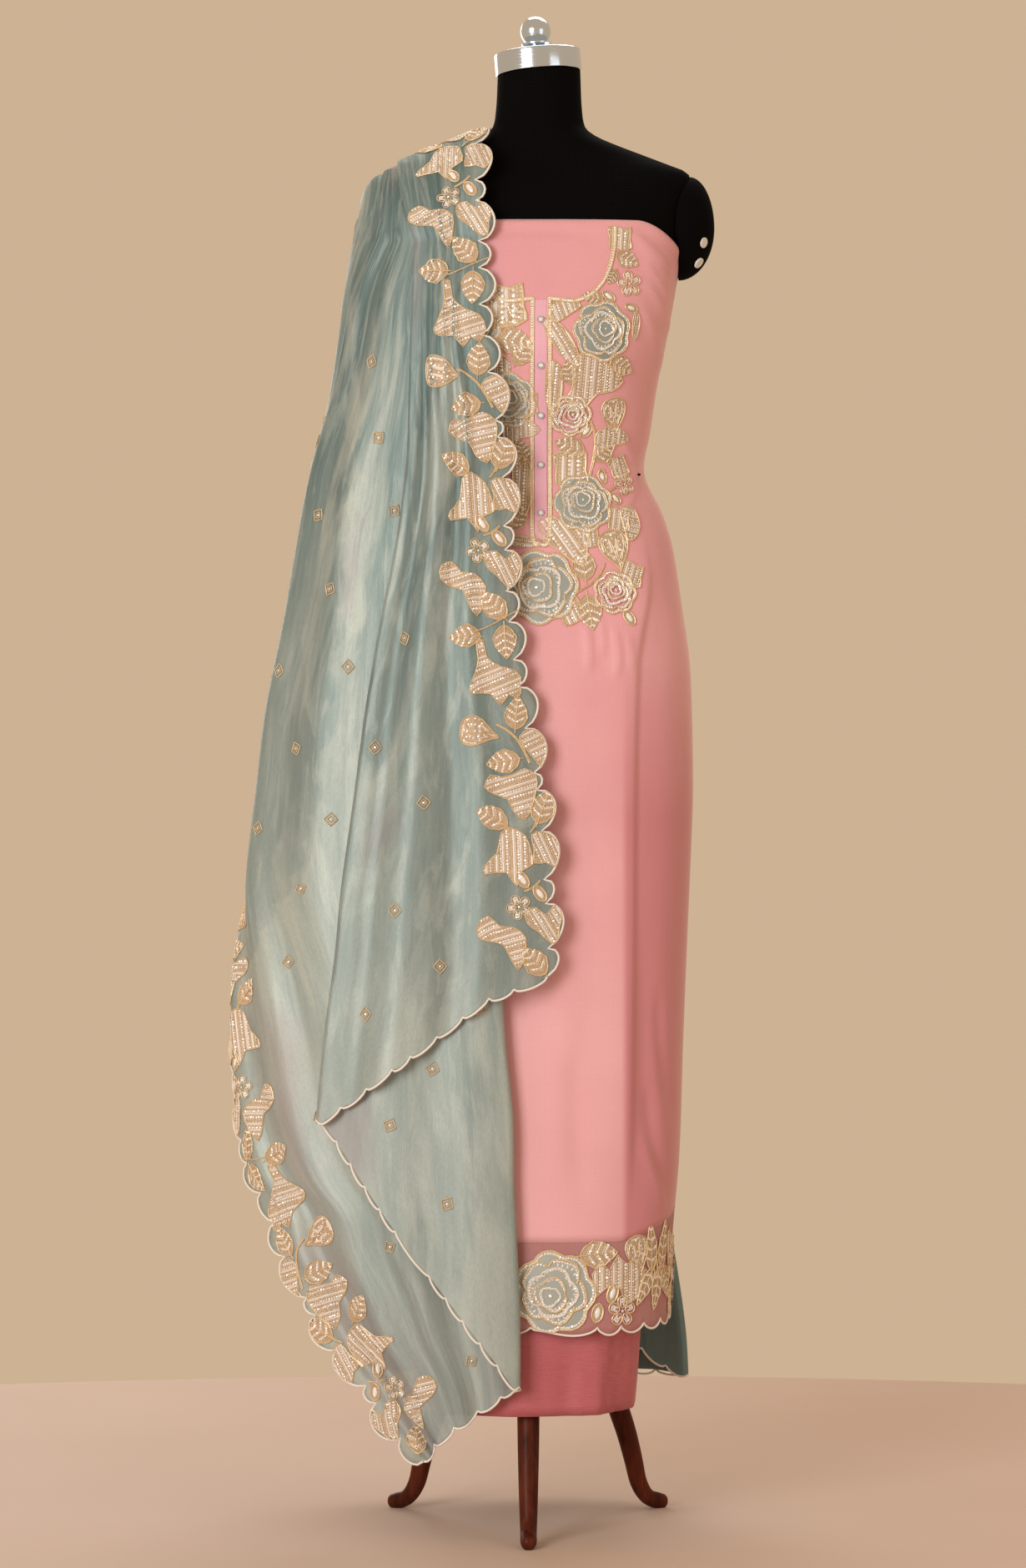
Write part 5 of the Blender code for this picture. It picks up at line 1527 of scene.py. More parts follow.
# A cupped sequin is a low cone with six sides and no floor, and a bead a steep one with five
CUP = {"vertices": 6, "radius1": 1.0, "radius2": 0.0, "depth": 0.35, "end_fill_type": "NOTHING"}
PEG = {**CUP, "vertices": 5, "depth": 1.1}
SEQUIN = small_shape("sequin_shape", sequin, 1.45, 1.45, 1.45, **CUP)
BEAD = small_shape("bead_shape", bead, 0.95, 0.95, 0.9, **PEG)
PEARL = small_shape("pearl_shape", pearl, 1.4, 1.4, 1.0, **PEG)
ALMOND = small_shape("almond_shape", crystal, 2.6, 5.6, 1.5, bpy.ops.mesh.primitive_uv_sphere_add,
                     segments=8, ring_count=5, radius=1.0)


def strew(shape, places, lean=0.0):
    """Copies of a small shape at (x, y, height, turn) places, joined in one object."""
    work = bmesh.new()
    for x, y, height, turn in places:
        start = len(work.verts)
        work.from_mesh(shape)
        work.verts.ensure_lookup_table()
        tip = (Matrix.Rotation(random.uniform(-lean, lean), 4, "X")
               @ Matrix.Rotation(random.uniform(-lean, lean), 4, "Y"))
        move = Matrix.Translation((x, y, height)) @ Matrix.Rotation(turn, 4, "Z") @ tip
        bmesh.ops.transform(work, matrix=move, verts=work.verts[start:])
    return from_bmesh(shape.name + "_row", work, shape.materials[0])


print("sequin, bead and almond modelled")

# %% [markdown]
# An outline is drawn through a few points with a smooth closed curve. Rows of stitches fill it:
# each row is a narrow padded strip, cut where it meets the outline.


# %% Outlines and rows
def curved(a, b, c, d, pieces):
    """The smooth curve from b to c, in pieces; a and d are the points before and after."""
    for t in (j / pieces for j in range(pieces)):
        yield 0.5 * (2 * b + (c - a) * t + (2 * a - 5 * b + 4 * c - d) * t * t
                     + (3 * b - a - 3 * c + d) * t**3)


def smooth_loop(points, pieces):
    """A smooth closed line through points, in metres from millimetres."""
    points = [Vector(p) * MM for p in points]
    around = [points[-1], *points, *points[:2]]
    return [p for k in range(len(points)) for p in curved(*around[k:k + 4], pieces)]


def smooth_line(points, pieces):
    """A smooth open line through points, in metres from millimetres."""
    points = [Vector(p) * MM for p in (points[0], *points, points[-1])]
    return [p for k in range(len(points) - 3) for p in curved(*points[k:k + 4], pieces)] + [points[-1]]


def flat_cord(line, closed=False, radius=0.8, height=0.7, look=zari):
    """A cord laid on the table, with its radius and height in millimetres."""
    cord = cord_piece("cord", [(p.x, p.y, height * MM) for p in line], radius * MM, closed, 0)
    cord.data.materials.append(look.made)
    return cord


def spans_inside(outline, level):
    """Where a level line is inside an outline: pairs of x."""
    hits = []
    for k, a in enumerate(outline):
        b = outline[(k + 1) % len(outline)]
        if (a.y - level) * (b.y - level) < 0:
            hits.append(a.x + (level - a.y) / (b.y - a.y) * (b.x - a.x))
    hits.sort()
    return list(zip(hits[::2], hits[1::2]))


ROW_KINDS = ("silk", "bead", "bead", "sequin", "plain", "silk", "sequin", "bead")
PLAIN = ("plain",)
ROW_PITCH = 2.3 * MM
SEWN_ON = {"bead": (BEAD, 2.5, 1.0, 0.0), "sequin": (SEQUIN, 3.0, 1.1, 0.35)}  # pitch, height, lean


def stitched_row(work, start, end, level, kind, back):
    """One padded row of stitches, in two strips that meet along a raised middle."""
    count = max(int((end - start) / (5 * MM)), 1)
    rows = []
    for side, height in ((-0.5, 0.15), (0.0, 0.75 if kind == "silk" else 0.45), (0.5, 0.15)):
        y = level + side * ROW_PITCH
        line = [back @ Vector((mix(start, end, j / count), y)) for j in range(count + 1)]
        rows.append([work.verts.new((*p, height * MM)) for p in line])
    for a, b in zip(rows, rows[1:]):
        for j in range(count):
            face = work.faces.new((a[j], a[j + 1], b[j + 1], b[j]))
            face.material_index = 0 if kind == "silk" else 1


def stitched_fill(outline, degrees, kinds=ROW_KINDS):
    """Rows of silk, beads and sequins inside an outline, at an angle."""
    turn = Matrix.Rotation(-math.radians(degrees), 2)
    back = Matrix.Rotation(math.radians(degrees), 2)
    turned_line = [turn @ p for p in outline]
    level, top = min(p.y for p in turned_line) + 0.8 * MM, max(p.y for p in turned_line) - 0.5 * MM
    work = bmesh.new()
    spots = {"bead": [], "sequin": []}
    k = 0
    while level < top:
        kind = kinds[k % len(kinds)]
        for start, end in spans_inside(turned_line, level):
            start, end = start + 0.5 * MM, end - 0.5 * MM
            if end - start < 1.5 * MM:
                continue
            stitched_row(work, start, end, level, kind, back)
            if kind in SEWN_ON:
                _, pitch, height, _ = SEWN_ON[kind]
                number = max(int((end - start) / (pitch * MM)), 1)
                for j in range(number):
                    p = back @ Vector((mix(start, end, (j + 0.5) / number), level))
                    spots[kind].append((*p, height * MM, random.uniform(0, 3)))
        level += ROW_PITCH
        k += 1
    rows = from_bmesh("stitched_fill", work, silk.made, fill.made)
    sewn = [strew(SEWN_ON[kind][0], places, SEWN_ON[kind][3]) for kind, places in spots.items() if places]
    return [rows, *sewn]


MOTIFS = {}


def keep_motif(name, parts):
    """Joins a motif's parts, and keeps it on the flat table, out of the scene."""
    motif = join("motif_" + name, parts)
    MOTIFS[name] = motif.data
    bpy.data.objects.remove(motif)
    print("motif", name + ":", triangles(MOTIFS[name]), "triangles")


# %% [markdown]
# The motifs are the usual ones of such work: striped petals of a few shapes, serrated leaves, a
# bud, almonds, a small open flower and a diamond-shaped buti.

# %% Striped petals
PETALS = {  # points of the outline in millimetres, angle of the rows, pieces between points
    "bell": (((-29, 12), (-20, 23), (-8, 19), (5, 21), (18, 25), (28, 16), (26, 1), (19, -16), (10, -29),
              (-1, -19), (-6, -5), (-19, 2)), 10, 2),
    "star": (((-5, 27), (7, 31), (19, 22), (23, 7), (24, -8), (12, -14), (5, -31), (-4, -15), (-27, -14),
              (-26, -5), (-12, 6)), 86, 2),
    "bent": (((-27, 20), (-14, 25), (-3, 14), (12, 12), (23, 2), (21, -17), (14, -33), (6, -21), (-1, -6),
              (-15, -2), (-28, 6)), 16, 2),
    "pear": (((-18, 37), (-10, 39), (-7, 20), (7, 9), (24, 3), (30, -12), (22, -27), (13, -22), (3, -34),
              (-6, -21), (-24, -19), (-31, -12), (-22, 3), (-17, 18)), 20, 2),
    "fan": (((-14, 14), (-3, 20), (6, 16), (13, 2), (10, -14), (2, -21), (-5, -9), (-12, 4)), 12, 2),
    "shield": (((-13, 19), (0, 20), (13, 9), (16, -7), (8, -20), (-2, -14), (-15, -13), (-13, 3)), -74, 2),
    "tulip": (((-20, 18), (-8, 21), (2, 12), (15, 22), (20, 10), (15, -5), (12, -19), (3, -18), (-8, -6),
               (-19, 4)), -64, 2),
    "bar": (((-7, 29), (5, 24), (9, 4), (7, -14), (2, -29), (-6, -18), (-9, 3)), 88, 2),
    "block": (((-12, 11), (-3, 13), (6, 10), (13, 12), (12, -2), (13, -11), (2, -13), (-11, -11),
               (-10, 0)), 84, 2),
    "zigzag": (((-30, 6), (-21, 17), (-13, 9), (-4, 22), (5, 13), (14, 17), (29, 4), (22, -6), (17, -19),
                (3, -24), (-3, -9), (-17, -7), (-27, -15)), 87, 1),
}
for name, (points, degrees, pieces) in PETALS.items():
    outline = smooth_loop(points, pieces)
    keep_motif(name, [*stitched_fill(outline, degrees), flat_cord(outline, True)])


# %% [markdown]
# Satin stitch is laid over padding, so each band of it is a narrow roof. Leaves have a serrated
# outline, a midrib and veins of gold cord, with silk, gold and sequins in turn between them.


# %% Leaves, bud, almond, flower and stems
def padded_strips(strips, look):
    """Satin stitch: each strip is a pair of ends with a half width, raised along its middle."""
    work = bmesh.new()
    section = ((-1, 0.15), (0, 0.8), (1, 0.15))
    for a, b, half in strips:
        a, b = Vector(a) * MM, Vector(b) * MM
        side = (b - a).orthogonal().normalized() * half * MM
        first, last = ([work.verts.new((*(end + side * s), h * MM)) for s, h in section] for end in (a, b))
        for k in (0, 1):
            work.faces.new((first[k + 1], last[k + 1], last[k], first[k]))
    bmesh.ops.recalc_face_normals(work, faces=work.faces)
    for face in work.faces:
        if face.normal.z < 0:
            face.normal_flip()
    return from_bmesh("padded_strips", work, look.made)


def leaf_parts(length, width, veins=4, teeth=0.9):
    """A serrated leaf: outline, midrib, slanting veins, satin stitch and sequins between them."""

    def half_width(t):
        return math.sin(math.pi * t**0.8) * width / 2

    points = []
    for side, steps in ((1, range(0, 9)), (-1, range(8, 0, -1))):
        for j in steps:
            reach = max(half_width(j / 8) + (teeth if j % 2 else -0.3), 0.3)
            points.append((side * reach, (j / 8 - 0.5) * length))
    outline = smooth_loop(points, 2)
    rib = smooth_line([(0, -0.62 * length), (0, 0.40 * length)], 3)
    parts = [*stitched_fill(outline, 90, PLAIN), flat_cord(outline, True), flat_cord(rib, radius=0.6)]
    sequins, silks, golds = [], [], []
    gap = 0.16 * length / veins + 1.1
    for j in range(veins):
        t = (j + 0.7) / (veins + 0.6)
        reach = half_width(min(t + 0.1, 1)) * 0.82
        y, rise = (t - 0.5) * length, 0.55 * reach
        for side in (1, -1):
            vein = smooth_line([(0, y), (side * reach, y + rise)], 2)
            parts.append(flat_cord(vein, radius=0.5, height=0.5))
            silks.append(((side * 0.8, y + gap), (side * reach, y + gap + rise), 1.1))
            low = y - gap * 0.7
            golds.append(((side * 0.8, low), (side * reach * 0.95, low + rise), 0.9))
            for step in (0.2, 0.48, 0.76, 1.0):
                sequins.append((side * reach * step * MM, (y + rise * step + gap) * MM,
                                1.1 * MM, random.uniform(0, 3)))
    return [*parts, strew(SEQUIN, sequins, 0.4), padded_strips(silks, silk), padded_strips(golds, fill)]


keep_motif("leaf", leaf_parts(37, 25))
keep_motif("slim_leaf", leaf_parts(44, 15, 4, 0.6))

bulb = smooth_loop([(0, 19), (11, 16), (16, 7), (13, -5), (4, -17), (0, -23), (-4, -17), (-13, -5),
                    (-16, 7), (-11, 16)], 2)
loops = [smooth_loop([(s * x, y) for x, y in ((1, -16), (8, -5), (11, 6), (6, 13), (2, 4))], 2)
         for s in (-1, 1)]
spots = [(s * x, y) for s in (-1, 1) for x, y in ((6, 6), (7, 10), (7, 2), (5, -3), (3, -9))]
spots += [(0, 10), (0, 14), (0, -4), (0, 1)]
spots += [(s * x, y) for x, y in ((11, 12), (13, 3), (9, -5)) for s in (-1, 1)]
stitches = [((s * x, y), (s * to_x, to_y), half) for x, y, to_x, to_y, half in
            ((3, -12, 8, -3, 1.2), (3.5, -4, 4, 9, 1.5), (12.5, -2, 12.5, 11, 1.1)) for s in (-1, 1)]
stitches += [((-6, 15.5), (6, 15.5), 1.2), ((0, -19), (0, -12), 1)]
keep_motif("bud", [*stitched_fill(bulb, 90, PLAIN), flat_cord(bulb, True),
                   *[flat_cord(loop, True, 0.6) for loop in loops], padded_strips(stitches, silk),
                   strew(SEQUIN, [(x * MM, y * MM, 0.9 * MM, 0) for x, y in spots], 0.4)])

ring = smooth_loop([(0, 9), (4.2, 5), (5, 0), (4.2, -5), (0, -9), (-4.2, -5), (-5, 0), (-4.2, 5)], 2)
keep_motif("almond", [*stitched_fill(ring, 90, PLAIN), flat_cord(ring, True, 0.8),
                      strew(ALMOND, [(0, 0, 0.8 * MM, 0)])])

petal = smooth_loop([(0, 3), (4.5, 7), (4.2, 12), (0, 14), (-4.2, 12), (-4.5, 7)], 2)
parts = []
for k in range(5):
    turn = Matrix.Rotation(2 * math.pi * k / 5, 2)
    parts.append(flat_cord([turn @ p for p in petal], True, 0.65))
    strips = [(turn @ Vector((s * 1.6, 5)), turn @ Vector((s * 1.9, 12)), 1.0) for s in (-1, 1)]
    parts.append(padded_strips(strips, silk))
    heart = turn @ Vector((0, 8.5 * MM))
    parts.append(strew(SEQUIN, [(heart.x * out, heart.y * out, 0.9 * MM, 0) for out in (1, 1.3)], 0.3))
keep_motif("flower", [*parts, strew(SEQUIN, [(0, 0, 1.2 * MM, 0)])])


def stem_parts(points):
    """A stem: two gold cords side by side."""
    line = smooth_line(points, 2)
    return [flat_cord(line), flat_cord([p + Vector((1.5 * MM, 0.4 * MM)) for p in line], radius=0.6)]


keep_motif("stem", stem_parts([(-15, 22), (-6, 16), (4, 5), (11, -10), (15, -23)]))
keep_motif("long_stem", stem_parts([(-27, -5), (-12, -4), (4, 0), (18, 4), (27, 6)]))
keep_motif("twig", stem_parts([(0, -12), (2, 0), (0, 12)]))

diamond = smooth_loop([(0, 7.6), (3.7, 3.9), (7.2, 0), (3.7, -3.9), (0, -7.6), (-3.7, -3.9), (-7.2, 0),
                       (-3.7, 3.9)], 1)
keep_motif("buti", [flat_cord(diamond, True, 0.75), flat_cord([p * 0.5 for p in diamond], True, 0.6),
                    strew(SEQUIN, [(0, 0, 1.0 * MM, 0)])])

# %% [markdown]
# A rose is cut from organza and edged with cord and silver beads. Its petals are rings of arcs
# round a closed heart, each ring turned against the next, with satin stitch inside some of them.
# The organza is domed a little so that it stands off the cloth.


# %% Roses
def round_point(radius, angle):
    return Vector((radius * math.cos(angle), radius * math.sin(angle)))


def petal_ring(radius, lobes, bulge, turn, lean):
    """A closed line of lobes round the middle; the radius is in millimetres."""
    made = []
    for k in range(lobes * 6):
        angle = 2 * math.pi * k / (lobes * 6)
        lobe = abs(math.sin(lobes * angle / 2 + turn)) ** 0.7
        reach = radius * (1 - bulge + bulge * lobe) * (1 + lean * math.cos(angle - turn))
        made.append(round_point(reach, angle) * MM)
    return made


def petal_arc(radius, middle, half, wobble):
    """One petal's edge: an open arc round the heart whose ends curl inward."""
    made = []
    for share in (k / 4 - 1 for k in range(9)):
        reach = radius * (1 - 0.26 * abs(share) ** 2.2 + 0.035 * math.sin(6 * share + wobble)) * MM
        made.append(round_point(reach, middle + half * share))
    return made


def beaded(line, spacing, height, closed=True):
    """Silver beads sewn at equal steps along a line."""
    spots, left = [], 0.0
    for a, b in zip(line, [*line[1:], line[0]] if closed else line[1:]):
        length = (b - a).length
        while left < length:
            p = a.lerp(b, left / length)
            spots.append((p.x, p.y, height * MM, random.uniform(0, 3)))
            left += spacing * MM
        left -= length
    return strew(PEARL, spots, 0.3)


def organza_disc(outline, dome):
    """The rose's cloth: the outline filled in rings, raised towards the heart."""
    work = bmesh.new()
    rings = []
    for share in (1.0, 0.8, 0.55, 0.3):
        rise = (0.3 + dome * (1 - share**2)) * MM
        rings.append([work.verts.new((p.x * share, p.y * share, rise)) for p in outline])
    heart = work.verts.new((0, 0, (0.3 + dome) * MM))
    around = [(k, (k + 1) % len(outline)) for k in range(len(outline))]
    for outer, inner in zip(rings, rings[1:]):
        for k, after in around:
            work.faces.new((outer[k], outer[after], inner[after], inner[k]))
    for k, after in around:
        work.faces.new((rings[-1][k], rings[-1][after], heart))
    return from_bmesh("organza_disc", work, rose_paint.made)


# Rings of petals: radius, petals, half an arc in radians, height of the cord in millimetres
ROSE_RINGS = ((0.80, 5, 0.74, 1.7), (0.60, 4, 0.96, 2.1), (0.42, 3, 1.10, 2.5), (0.25, 3, 1.15, 2.8))


def rose_parts(radius, turn, cloth=True):
    outer = petal_ring(radius, 7, 0.16, turn, 0.05)
    parts = [flat_cord(outer, True, 0.9, 0.9), beaded([p * 0.94 for p in outer], 2.3, 1.3),
             strew(SEQUIN, [(0.11 * radius * MM, 0.09 * radius * MM, 3.2 * MM, 0)])]
    for ring, (share, petals, half, height) in enumerate(ROSE_RINGS):
        stitches = []
        for k in range(petals):
            middle = turn + 1.3 * ring + 2 * math.pi * (k + 0.12 * math.sin(5 * k)) / petals
            away = Vector((0.045, 0.035)) * ring * radius * MM  # the heart is off the middle
            arc = [p + away for p in petal_arc(share * radius, middle, half, k + turn)]
            parts.append(flat_cord(arc, False, 0.8, height, pearl if ring % 2 else zari))
            parts.append(beaded([p * 0.94 for p in arc[1:-1]], 2.4, height, False))
            if ring < 3 and k % 2 == 0:
                stitches += [(p * 0.87 / MM, p * 0.77 / MM, 0.9) for p in arc[2:7]]
        if stitches:
            padded = padded_strips(stitches, silk)
            padded.location.z = (height - 0.9) * MM
            parts.append(settle(padded))
    if cloth:
        parts.append(organza_disc(outer, 1.6))
    return parts


keep_motif("rose", rose_parts(35, 0.3))
keep_motif("other_rose", rose_parts(35, 1.4))
keep_motif("pink_rose", rose_parts(22, 0.9, cloth=False))

# %% [markdown]
# To lay a motif on cloth, each of its points is moved from the flat table to the cloth: first
# along the cloth's own two directions at the spot, then onto the nearest point of the cloth, and
# out by its height over the table. A mirrored copy has its faces turned the other way round.


# %% Laying motifs on cloth
class Frame:
    """All that has been laid on one cloth, to be made one object."""

    def __init__(self):
        self.points, self.loops, self.looks = [], [], []
        self.pieces = 0

    def keep(self, motif, points, mirrored):
        start = len(self.points)
        self.points += [tuple(p) for p in points]
        for polygon in motif.polygons:
            loop = [v + start for v in polygon.vertices]
            self.loops.append(loop[::-1] if mirrored else loop)
            self.looks.append(motif.materials[polygon.material_index].name)
        self.pieces += 1

    def embroidery(self, name, slot, *nodes):
        """Makes one object of all that was laid."""
        mesh = bpy.data.meshes.new(name)
        mesh.from_pydata(self.points, [], self.loops)
        names = sorted(set(self.looks))
        for look in names:
            mesh.materials.append(bpy.data.materials[look])
        order = {look: k for k, look in enumerate(names)}
        mesh.polygons.foreach_set("material_index", [order[look] for look in self.looks])
        print(name + ":", self.pieces, "motifs laid")
        return finish_piece(new_object(name, mesh), None, slot, *nodes)


def flat_points(motif, degrees, size):
    """A motif's points on the table, turned and sized: x, y and height."""
    flat = np.zeros(len(motif.vertices) * 3)
    motif.vertices.foreach_get("co", flat)
    flat = flat.reshape(-1, 3)
    angle = math.radians(degrees)
    x, y = flat[:, 0] * size, flat[:, 1] * size
    return x * math.cos(angle) - y * math.sin(angle), x * math.sin(angle) + y * math.cos(angle), flat[:, 2]


class Ground(Frame):
    """A stretch of cloth given by rows of points, in the frame, that motifs are pressed onto."""

    def __init__(self, rows):
        super().__init__()
        count = len(rows[0])
        points = [Vector(p) for row in rows for p in row]
        corners = (r * count + k for r in range(len(rows) - 1) for k in range(count - 1))
        faces = [(at, at + 1, at + count + 1, at + count) for at in corners]
        self.tree = BVHTree.FromPolygons(points, faces)

    def lay(self, name, place, right, up, degrees, size, mirror=False, lift=0.0004):
        motif = MOTIFS[name]
        right, up = Vector(right).normalized(), Vector(up).normalized()
        out = right.cross(up).normalized() * (-1 if mirror else 1)
        up = (right.cross(out) if mirror else out.cross(right)).normalized()
        points = []
        for x, y, height in zip(*flat_points(motif, degrees, size)):
            hit, normal, _, _ = self.tree.find_nearest(place + right * x + up * y)
            points.append(hit + normal * ((height + lift) * (1 if normal.dot(out) > 0 else -1)))
        self.keep(motif, points, mirror)

    def seen_at(self, x, z):
        """Where a level ray from the front meets the cloth, and its normal there."""
        start = Vector((x * MM, -1, z * MM)) + SHIFT
        return self.tree.ray_cast(start, Vector((0, 1, 0)))[:2]

    def lay_in_front(self, name, x, z, degrees, size, mirror=False):
        """Lays a motif at a place seen from the front, in millimetres."""
        hit, normal = self.seen_at(x, z)
        if normal.y > 0:
            normal = -normal
        side = -1 if mirror else 1
        right = Vector((0, 0, 1)).cross(normal) * side
        self.lay(name, hit, right, normal.cross(right) * side, degrees, size, mirror)


print("laying helpers ready")

# %% [markdown]
# The border runs along both long edges of the dupatta. One repeat is given as a list
# of motifs with their run along the edge, distance from it, turn and size; the next repeats
# follow it with small changes, as hand work has. The far edge has its mirror image.

# %% The dupatta's border
BORDER = (  # motif, run along the edge, distance inward from it (mm), turn in degrees, size
    ("flower", 87, 30, 20, 1.0), ("almond", 93, 5, 35, 1.15), ("almond", 115, 24, 33, 1.15),
    ("twig", 104, 14, -60, 0.9), ("shield", 138, -5, 4, 1.0), ("star", 143, 38, 2, 1.05),
    ("leaf", 186, -6, -28, 1.05), ("twig", 170, 8, -32, 0.8), ("leaf", 194, 54, 58, 1.0),
    ("twig", 180, 42, 50, 0.7), ("bell", 211, 27, 3, 1.03), ("leaf", 248, 31, 94, 1.0),
    ("fan", 251, -8, 6, 1.05), ("stem", 263, 17, 0, 1.05), ("leaf", 294, 6, -14, 0.98),
    ("bud", 292, 55, 72, 1.05), ("pear", 343, 23, 0, 1.0), ("leaf", 375, 6, 176, 1.0),
    ("leaf", 398, 53, 84, 0.98), ("long_stem", 400, 14, 8, 1.0), ("leaf", 418, 15, 38, 1.0),
    ("tulip", 453, 1, 0, 1.0), ("bent", 453, 50, 0, 1.02),
)


# %% [markdown]
# A motif on the dupatta is measured along the cloth, over every crease, as if the cloth were
# pulled flat: so far along the edge, so far inward from it. Where the cloth's rows do not meet
# the edge at a right angle, the motif is sheared back so that it keeps its shape.

# %% Laying on the dupatta
facing_out = grid_normals(full) * OUT
# How far round a motif the cloth's two directions are measured, and the most that they may shear it
PROBE_NEAR, PROBE_FAR, PROBE_ALONG, MOST_SHEAR = 0.02, 0.03, 0.012, 0.85


class Border(Frame):
    """Lays motifs by their run along an edge and distance inward, following the creases."""

    def __init__(self, edge, from_far):
        super().__init__()
        self.edge = edge
        self.grid = (full[:, ::-1] if from_far else full) + np.array(SHIFT)
        self.normals = facing_out[:, ::-1] if from_far else facing_out
        steps = np.linalg.norm(np.diff(self.grid, axis=1), axis=2)
        self.inward = np.concatenate([np.zeros((FULL_ROWS, 1)), np.cumsum(steps, axis=1)], axis=1)
        self.inward -= self.inward[:, 2:3]

    def on_cloth(self, run, inward):
        """Points and normals on the cloth at runs along the edge and distances inward."""
        run, inward = np.atleast_1d(run), np.atleast_1d(inward)
        row = np.interp(run, self.edge.lengths, np.arange(ROWS)) + 2
        low = np.minimum(row.astype(int), FULL_ROWS - 2)
        share = (row - low)[:, None]
        reach = self.inward[low] * (1 - share) + self.inward[low + 1] * share
        column = np.clip((reach < inward[:, None]).sum(axis=1) - 1, 0, FULL_ACROSS - 2)
        index = np.arange(len(row))
        start, end = reach[index, column], reach[index, column + 1]
        part = np.clip((inward - start) / (end - start), 0, 1)[:, None]
        made = []
        for data in (self.grid, self.normals):
            lower = data[low, column] * (1 - part) + data[low, column + 1] * part
            upper = data[low + 1, column] * (1 - part) + data[low + 1, column + 1] * part
            made.append(lower * (1 - share) + upper * share)
        return made

    def lay(self, name, run, inward, degrees, size, reverse=False, lift=0.0005):
        motif = MOTIFS[name]
        near, far = max(inward - PROBE_NEAR, 0), inward + PROBE_FAR
        runs = [run, run, run + PROBE_ALONG, run - PROBE_ALONG]
        spots, normals = self.on_cloth(runs, [near, far, inward, inward])
        in_way, run_way = (way / np.linalg.norm(way) for way in (spots[1] - spots[0], spots[2] - spots[3]))
        cosine = float(np.clip(np.dot(in_way, run_way), -MOST_SHEAR, MOST_SHEAR))
        sine = math.sqrt(1 - cosine**2)
        x, y, height = flat_points(motif, degrees, size)
        points, normals = self.on_cloth(run + y + x * cosine / sine, inward - x / sine)
        side = -1 if reverse else 1
        mirrored = float(np.dot(np.cross(-in_way, run_way), normals[0])) * side < 0
        self.keep(motif, points + normals * (side * (height + lift))[:, None], mirrored)

    def place(self, run, inward):
        return self.on_cloth(run, inward)[0][0]


FIRST_MOTIF, LAST_MOTIF = 0.008, 0.016  # how near a motif's middle comes to the cloth's two ends


def lay_border(name, edge, from_far, hidden_above=9.0):
    border = Border(edge, from_far)
    length = edge.lengths[-1]
    for k in range(-1, int(length / REPEAT) + 1):
        for motif, run, inward, degrees, size in BORDER:
            at = k * REPEAT + (run + random.uniform(-1, 1)) * MM
            inside = FIRST_MOTIF < at < length - LAST_MOTIF
            if inside and border.place(at, inward * MM)[2] < hidden_above:
                border.lay(motif, at, inward * MM, degrees + random.uniform(-4, 4), size)
    border.embroidery(name, "dupatta_organza")


lay_border("dupatta_border_near", near_edge, False)
lay_border("dupatta_border_far", far_edge, True, 1.27)  # above this the far border is rolled under

# %% [markdown]
# Small diamond butis are scattered between the borders in staggered rows, on every panel of the
# cloth, so that the pleats hide some and show others. On the panel that is folded back, the
# cloth's reverse faces out.

# %% Butis
BUTI_STEP, ROW_SHARE, BUTI_SIZE = 0.105, 0.86, 1.05
FIRST_BUTI, LAST_BUTI = 0.075, 0.05
panel_starts = dict(zip((name for name, _ in PANELS), np.cumsum([2, *[count for _, count in PANELS]])))


def lay_butis(name, edge, from_far, columns, margins, reverse=False):
    """Staggered rows of butis between two columns, counted from the edge."""
    border = Border(edge, from_far)
    run, stagger = FIRST_BUTI, 0
    while run < edge.lengths[-1] - LAST_BUTI:
        row = int(np.interp(run, edge.lengths, range(ROWS))) + 2
        side = border.inward[row, columns[0]] + margins[0] + 0.5 * BUTI_STEP * stagger
        while side < border.inward[row, columns[1]] - margins[1]:
            at, turn = run + random.uniform(-4, 4) * MM, random.uniform(-20, 20)
            border.lay("buti", at, side, turn, BUTI_SIZE, reverse)
            side += BUTI_STEP * random.uniform(0.92, 1.08)
        run += BUTI_STEP * ROW_SHARE
        stagger = 1 - stagger
    border.embroidery(name, "dupatta_organza")


outer_end, middle = panel_starts["fold b"], (panel_starts["middle"], panel_starts["fold c"])
lay_butis("dupatta_butis_outer", near_edge, False, (2, outer_end), (0.135, 0.012))
lay_butis("dupatta_butis_middle", near_edge, False, middle, (0.02, 0.02), reverse=True)
inner_end = FULL_ACROSS - 1 - panel_starts["inner"]
lay_butis("dupatta_butis_inner", far_edge, True, (2, inner_end), (0.130, 0.02))

# %% [markdown]
# The kameez yoke is worked heavily round a scoop and beside the placket: roses of organza among
# striped petals, leaves, buds and almonds. Places are in millimetres from the form's middle and
# from the floor. What stands beyond the dupatta's edge on one side has a mirrored copy on the
# other, under the dupatta.

